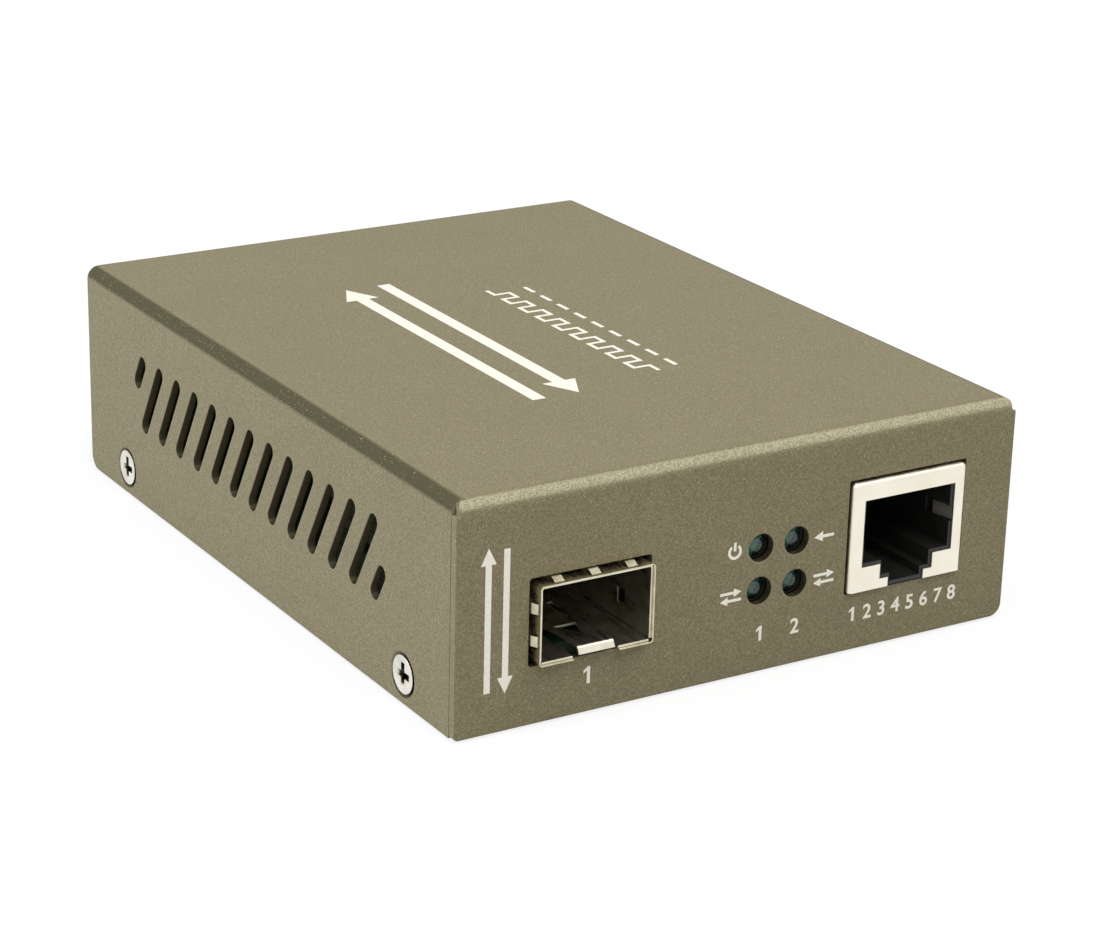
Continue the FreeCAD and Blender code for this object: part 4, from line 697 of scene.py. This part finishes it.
def green_epoxy():
    """Clear epoxy with a dark green dye, a little uneven."""
    material, tree, shader = new_finish("green_epoxy", metallic=0.0, roughness=0.05)
    skin = place_group(tree, moulded_skin, Grain_scale=900.0, Flow_scale=700.0)
    dye = blend_colours(tree, stretch(tree, skin["Flow"], 0.35, 0.65), shade(58, 92, 82),
                        shade(82, 116, 104))
    tree.links.new(dye, shader["Base Color"])
    tree.links.new(spread(tree, skin["Grain"], 0.03, 0.07), shader["Roughness"])
    shader["Transmission Weight"].default_value = 0.85
    shader["IOR"].default_value = 1.54
    raise_grain(tree, shader, skin["Grain"], 0.002 * mm)
    return material


lamp_green = green_epoxy()
cup_silver = plated("cup_silver", shade(196, 206, 196), shade(160, 174, 164),
                    roughness=0.25, depth=0.001 * mm)
for lamp in ("led_power", "led_fibre_link", "led_copper_receive", "led_copper_link"):
    low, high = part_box(lamp)
    tip = Vector(((low.x + high.x) / 2, low.y, (low.z + high.z) / 2))
    length = high.y - low.y
    flange_radius = (high.x - low.x) / 2
    dome = [(barrel_radius * (1 - math.cos(math.pi / 2 * index / dome_steps)),
             barrel_radius * math.sin(math.pi / 2 * index / dome_steps)) for index in range(dome_steps + 1)]
    flange_front = length - flange_depth
    lens_profile = dome + [(flange_front - rim, barrel_radius), (flange_front, barrel_radius + rim / 2),
                           (flange_front, flange_radius - rim), (flange_front + rim, flange_radius),
                           (length - rim, flange_radius), (length, flange_radius - rim), (length, 0)]
    lens_piece = turned(lamp + "_lens", tip, lens_profile)
    lens_piece.data.materials.append(lamp_green)
    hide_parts(lamp)
    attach(lens_piece, "case")
    floor_depth = cup_depth + cup_height * cup_floor_share
    cup_profile = [(floor_depth, 0), (floor_depth, cup_inside), (cup_depth, cup_outside - cup_lip),
                   (cup_depth, cup_outside), (cup_depth + cup_height, cup_outside),
                   (cup_depth + cup_height, post_width / 2), (flange_front, post_width / 2),
                   (flange_front, 0)]
    cup = turned(lamp + "_cup", tip, cup_profile)
    cup.data.materials.append(cup_silver)
    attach(cup, "case")
dress(black_moulding, "led_holder")

solder_tin = plated("solder_tin", shade(206, 205, 200), shade(178, 177, 172),
                    roughness=0.36, depth=0.004 * mm)
dress(solder_tin, "led_leads")


# Circuit board and what holds it
# Green glass-fibre laminate with fine traces under the mask, on four zinc-plated clinched spacers.

def laminate():
    """Green mask over fine copper traces."""
    material, tree, shader = new_finish("board_laminate", metallic=0.0, roughness=0.35)
    place = put(tree, "ShaderNodeTexCoord").outputs["Object"]
    traces = put(tree, "ShaderNodeTexBrick", {"Vector": place, "Scale": 160.0, "Mortar Size": 0.06,
                                              "Mortar Smooth": 0.1, "Brick Width": 0.9, "Row Height": 0.22},
                 offset=0.37).outputs["Fac"]
    skin = place_group(tree, moulded_skin, Grain_scale=2400.0, Flow_scale=300.0)
    mask = blend_colours(tree, stretch(tree, skin["Flow"], 0.35, 0.7), shade(13, 36, 24),
                         shade(18, 46, 30))
    mask = blend_colours(tree, math_node(tree, "MULTIPLY", traces, 0.6), mask, shade(30, 66, 40))
    tree.links.new(mask, shader["Base Color"])
    tree.links.new(spread(tree, skin["Grain"], 0.3, 0.42), shader["Roughness"])
    raise_grain(tree, shader, traces, 0.02 * mm)
    return material


dress(laminate(), "circuit_board")
zinc = plated("zinc_spacer", shade(204, 206, 208), shade(172, 176, 180),
              roughness=0.38, depth=0.006 * mm)
dress(zinc, "board_standoffs")


# Components on the board
# Black epoxy packages with tinned leads, a drawn steel crystal can, sleeved can capacitors, a
# ferrite inductor, a resettable fuse, a diode and small ceramic capacitors.

def epoxy_package(name, node, dot):
    """Matt black epoxy with a dimple at the first lead."""
    dimple_radius = 0.4 * mm
    dimple_soft = 0.1 * mm
    material, tree, shader = new_finish(name, metallic=0.0, roughness=0.6)
    low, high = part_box(node)
    place = put(tree, "ShaderNodeTexCoord").outputs["Object"]
    mark = (low.x + dot * mm, low.y + dot * mm, high.z)
    away = put(tree, "ShaderNodeVectorMath", {0: place, 1: mark}, operation="DISTANCE").outputs["Value"]
    dimple = stretch(tree, away, dimple_radius, dimple_radius + dimple_soft, 1.0, 0.0)
    skin = place_group(tree, moulded_skin, Grain_scale=4200.0)
    epoxy = blend_colours(tree, stretch(tree, skin["Grain"], 0.35, 0.65), shade(26, 26, 27),
                          shade(46, 46, 47))
    epoxy = blend_colours(tree, math_node(tree, "MULTIPLY", dimple, 0.8), epoxy, shade(70, 70, 70))
    tree.links.new(epoxy, shader["Base Color"])
    tree.links.new(spread(tree, skin["Grain"], 0.5, 0.7), shader["Roughness"])
    raise_grain(tree, shader, skin["Grain"], 0.012 * mm)
    return material


for package, dot in (("converter_chip", 1.6), ("magnetics_module", 1.4), ("memory_chip", 0.9),
                     ("voltage_regulator", 0.8)):
    dress(epoxy_package(package + "_epoxy", package, dot), package)
dress(solder_tin, "converter_chip_leads", "magnetics_leads", "memory_chip_leads", "regulator_leads")
can_steel = plated("can_steel", shade(214, 212, 204), shade(188, 186, 178),
                   roughness=0.24, depth=0.003 * mm)
dress(can_steel, "crystal")
ferrite = moulding("ferrite", shade(44, 44, 46), shade(70, 70, 72),
                   roughness=0.7, depth=0.02 * mm, Grain_scale=5200.0)
dress(ferrite, "power_inductor")


def sleeve():
    """Shrunk sleeve with a pale stripe down one side, the can's end bare."""
    material, tree, shader = new_finish("capacitor_sleeve", metallic=0.0, roughness=0.35)
    normal = facing_of(tree)
    stripe = stretch(tree, normal["X"], -0.82, -0.8, 1.0, 0.0)
    end = stretch(tree, normal["Z"], 0.8, 0.85)
    skin = place_group(tree, moulded_skin, Grain_scale=1500.0)
    cover = blend_colours(tree, stretch(tree, skin["Flow"], 0.35, 0.7), shade(26, 30, 44),
                          shade(34, 40, 56))
    cover = blend_colours(tree, stripe, cover, shade(186, 190, 196))
    cover = blend_colours(tree, end, cover, shade(206, 208, 210))
    tree.links.new(cover, shader["Base Color"])
    tree.links.new(end, shader["Metallic"])
    raise_grain(tree, shader, skin["Grain"], 0.006 * mm)
    return material


def two_ended(name, node, share, body_tone, end_tone):
    """Small part with a metal cap at each end along Y."""
    soft_edge = 0.02 * mm
    material, tree, shader = new_finish(name, metallic=0.0, roughness=0.4)
    low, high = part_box(node)
    place = put(tree, "ShaderNodeTexCoord").outputs["Object"]
    along = parts_of(tree, place)["Y"]
    off_middle = size_of(tree, math_node(tree, "SUBTRACT", along, (low.y + high.y) / 2))
    cap_starts = (high.y - low.y) / 2 * (1 - share)
    end = stretch(tree, off_middle, cap_starts - soft_edge, cap_starts + soft_edge)
    skin = place_group(tree, moulded_skin, Grain_scale=3000.0)
    body = blend_colours(tree, stretch(tree, skin["Grain"], 0.35, 0.65), body_tone, end_tone)
    body = blend_colours(tree, 0.8, body, body_tone)
    tree.links.new(blend_colours(tree, end, body, end_tone), shader["Base Color"])
    tree.links.new(math_node(tree, "MULTIPLY", end, 0.9), shader["Metallic"])
    raise_grain(tree, shader, skin["Grain"], 0.008 * mm)
    return material


dress(sleeve(), "filter_capacitors")
for name, node, share, body_tone, end_tone in (
        ("fuse_body", "input_fuse", 0.31, shade(196, 160, 60), shade(206, 205, 200)),
        ("diode_body", "input_diode", 0.2, shade(30, 30, 31), shade(150, 150, 150))):
    dress(two_ended(name, node, share, body_tone, end_tone), node)
ceramic = moulding("ceramic", shade(176, 150, 118), shade(196, 172, 140),
                   roughness=0.45, depth=0.006 * mm, Grain_scale=4000.0)
dress(ceramic, "chip_capacitors")


# Power inlet
# Black moulded barrel socket with a nickel-plated centre pin and tinned leaf contacts.

dress(black_moulding, "dc_jack_housing")
pin_nickel = plated("pin_nickel", shade(224, 220, 208), shade(200, 196, 182),
                    roughness=0.2, depth=0.002 * mm)
dress(pin_nickel, "dc_jack_pin")
dress(solder_tin, "dc_jack_sleeve_contact", "dc_jack_switch_contact")


# Slide switch
# Tinned steel frame over a brown phenolic plate, with a black ribbed slider through the rear panel.

phenolic = moulding("phenolic", shade(92, 60, 34), shade(122, 84, 50),
                    roughness=0.55, depth=0.01 * mm, Flow_scale=900.0)
knob_black = moulding("knob_black", shade(22, 22, 22), shade(44, 44, 43),
                      roughness=0.38, depth=0.008 * mm, Grain_scale=4200.0)
dress(solder_tin, "mode_switch_frame", "mode_switch_terminals")
dress(phenolic, "mode_switch_base")
dress(knob_black, "mode_switch_knob")
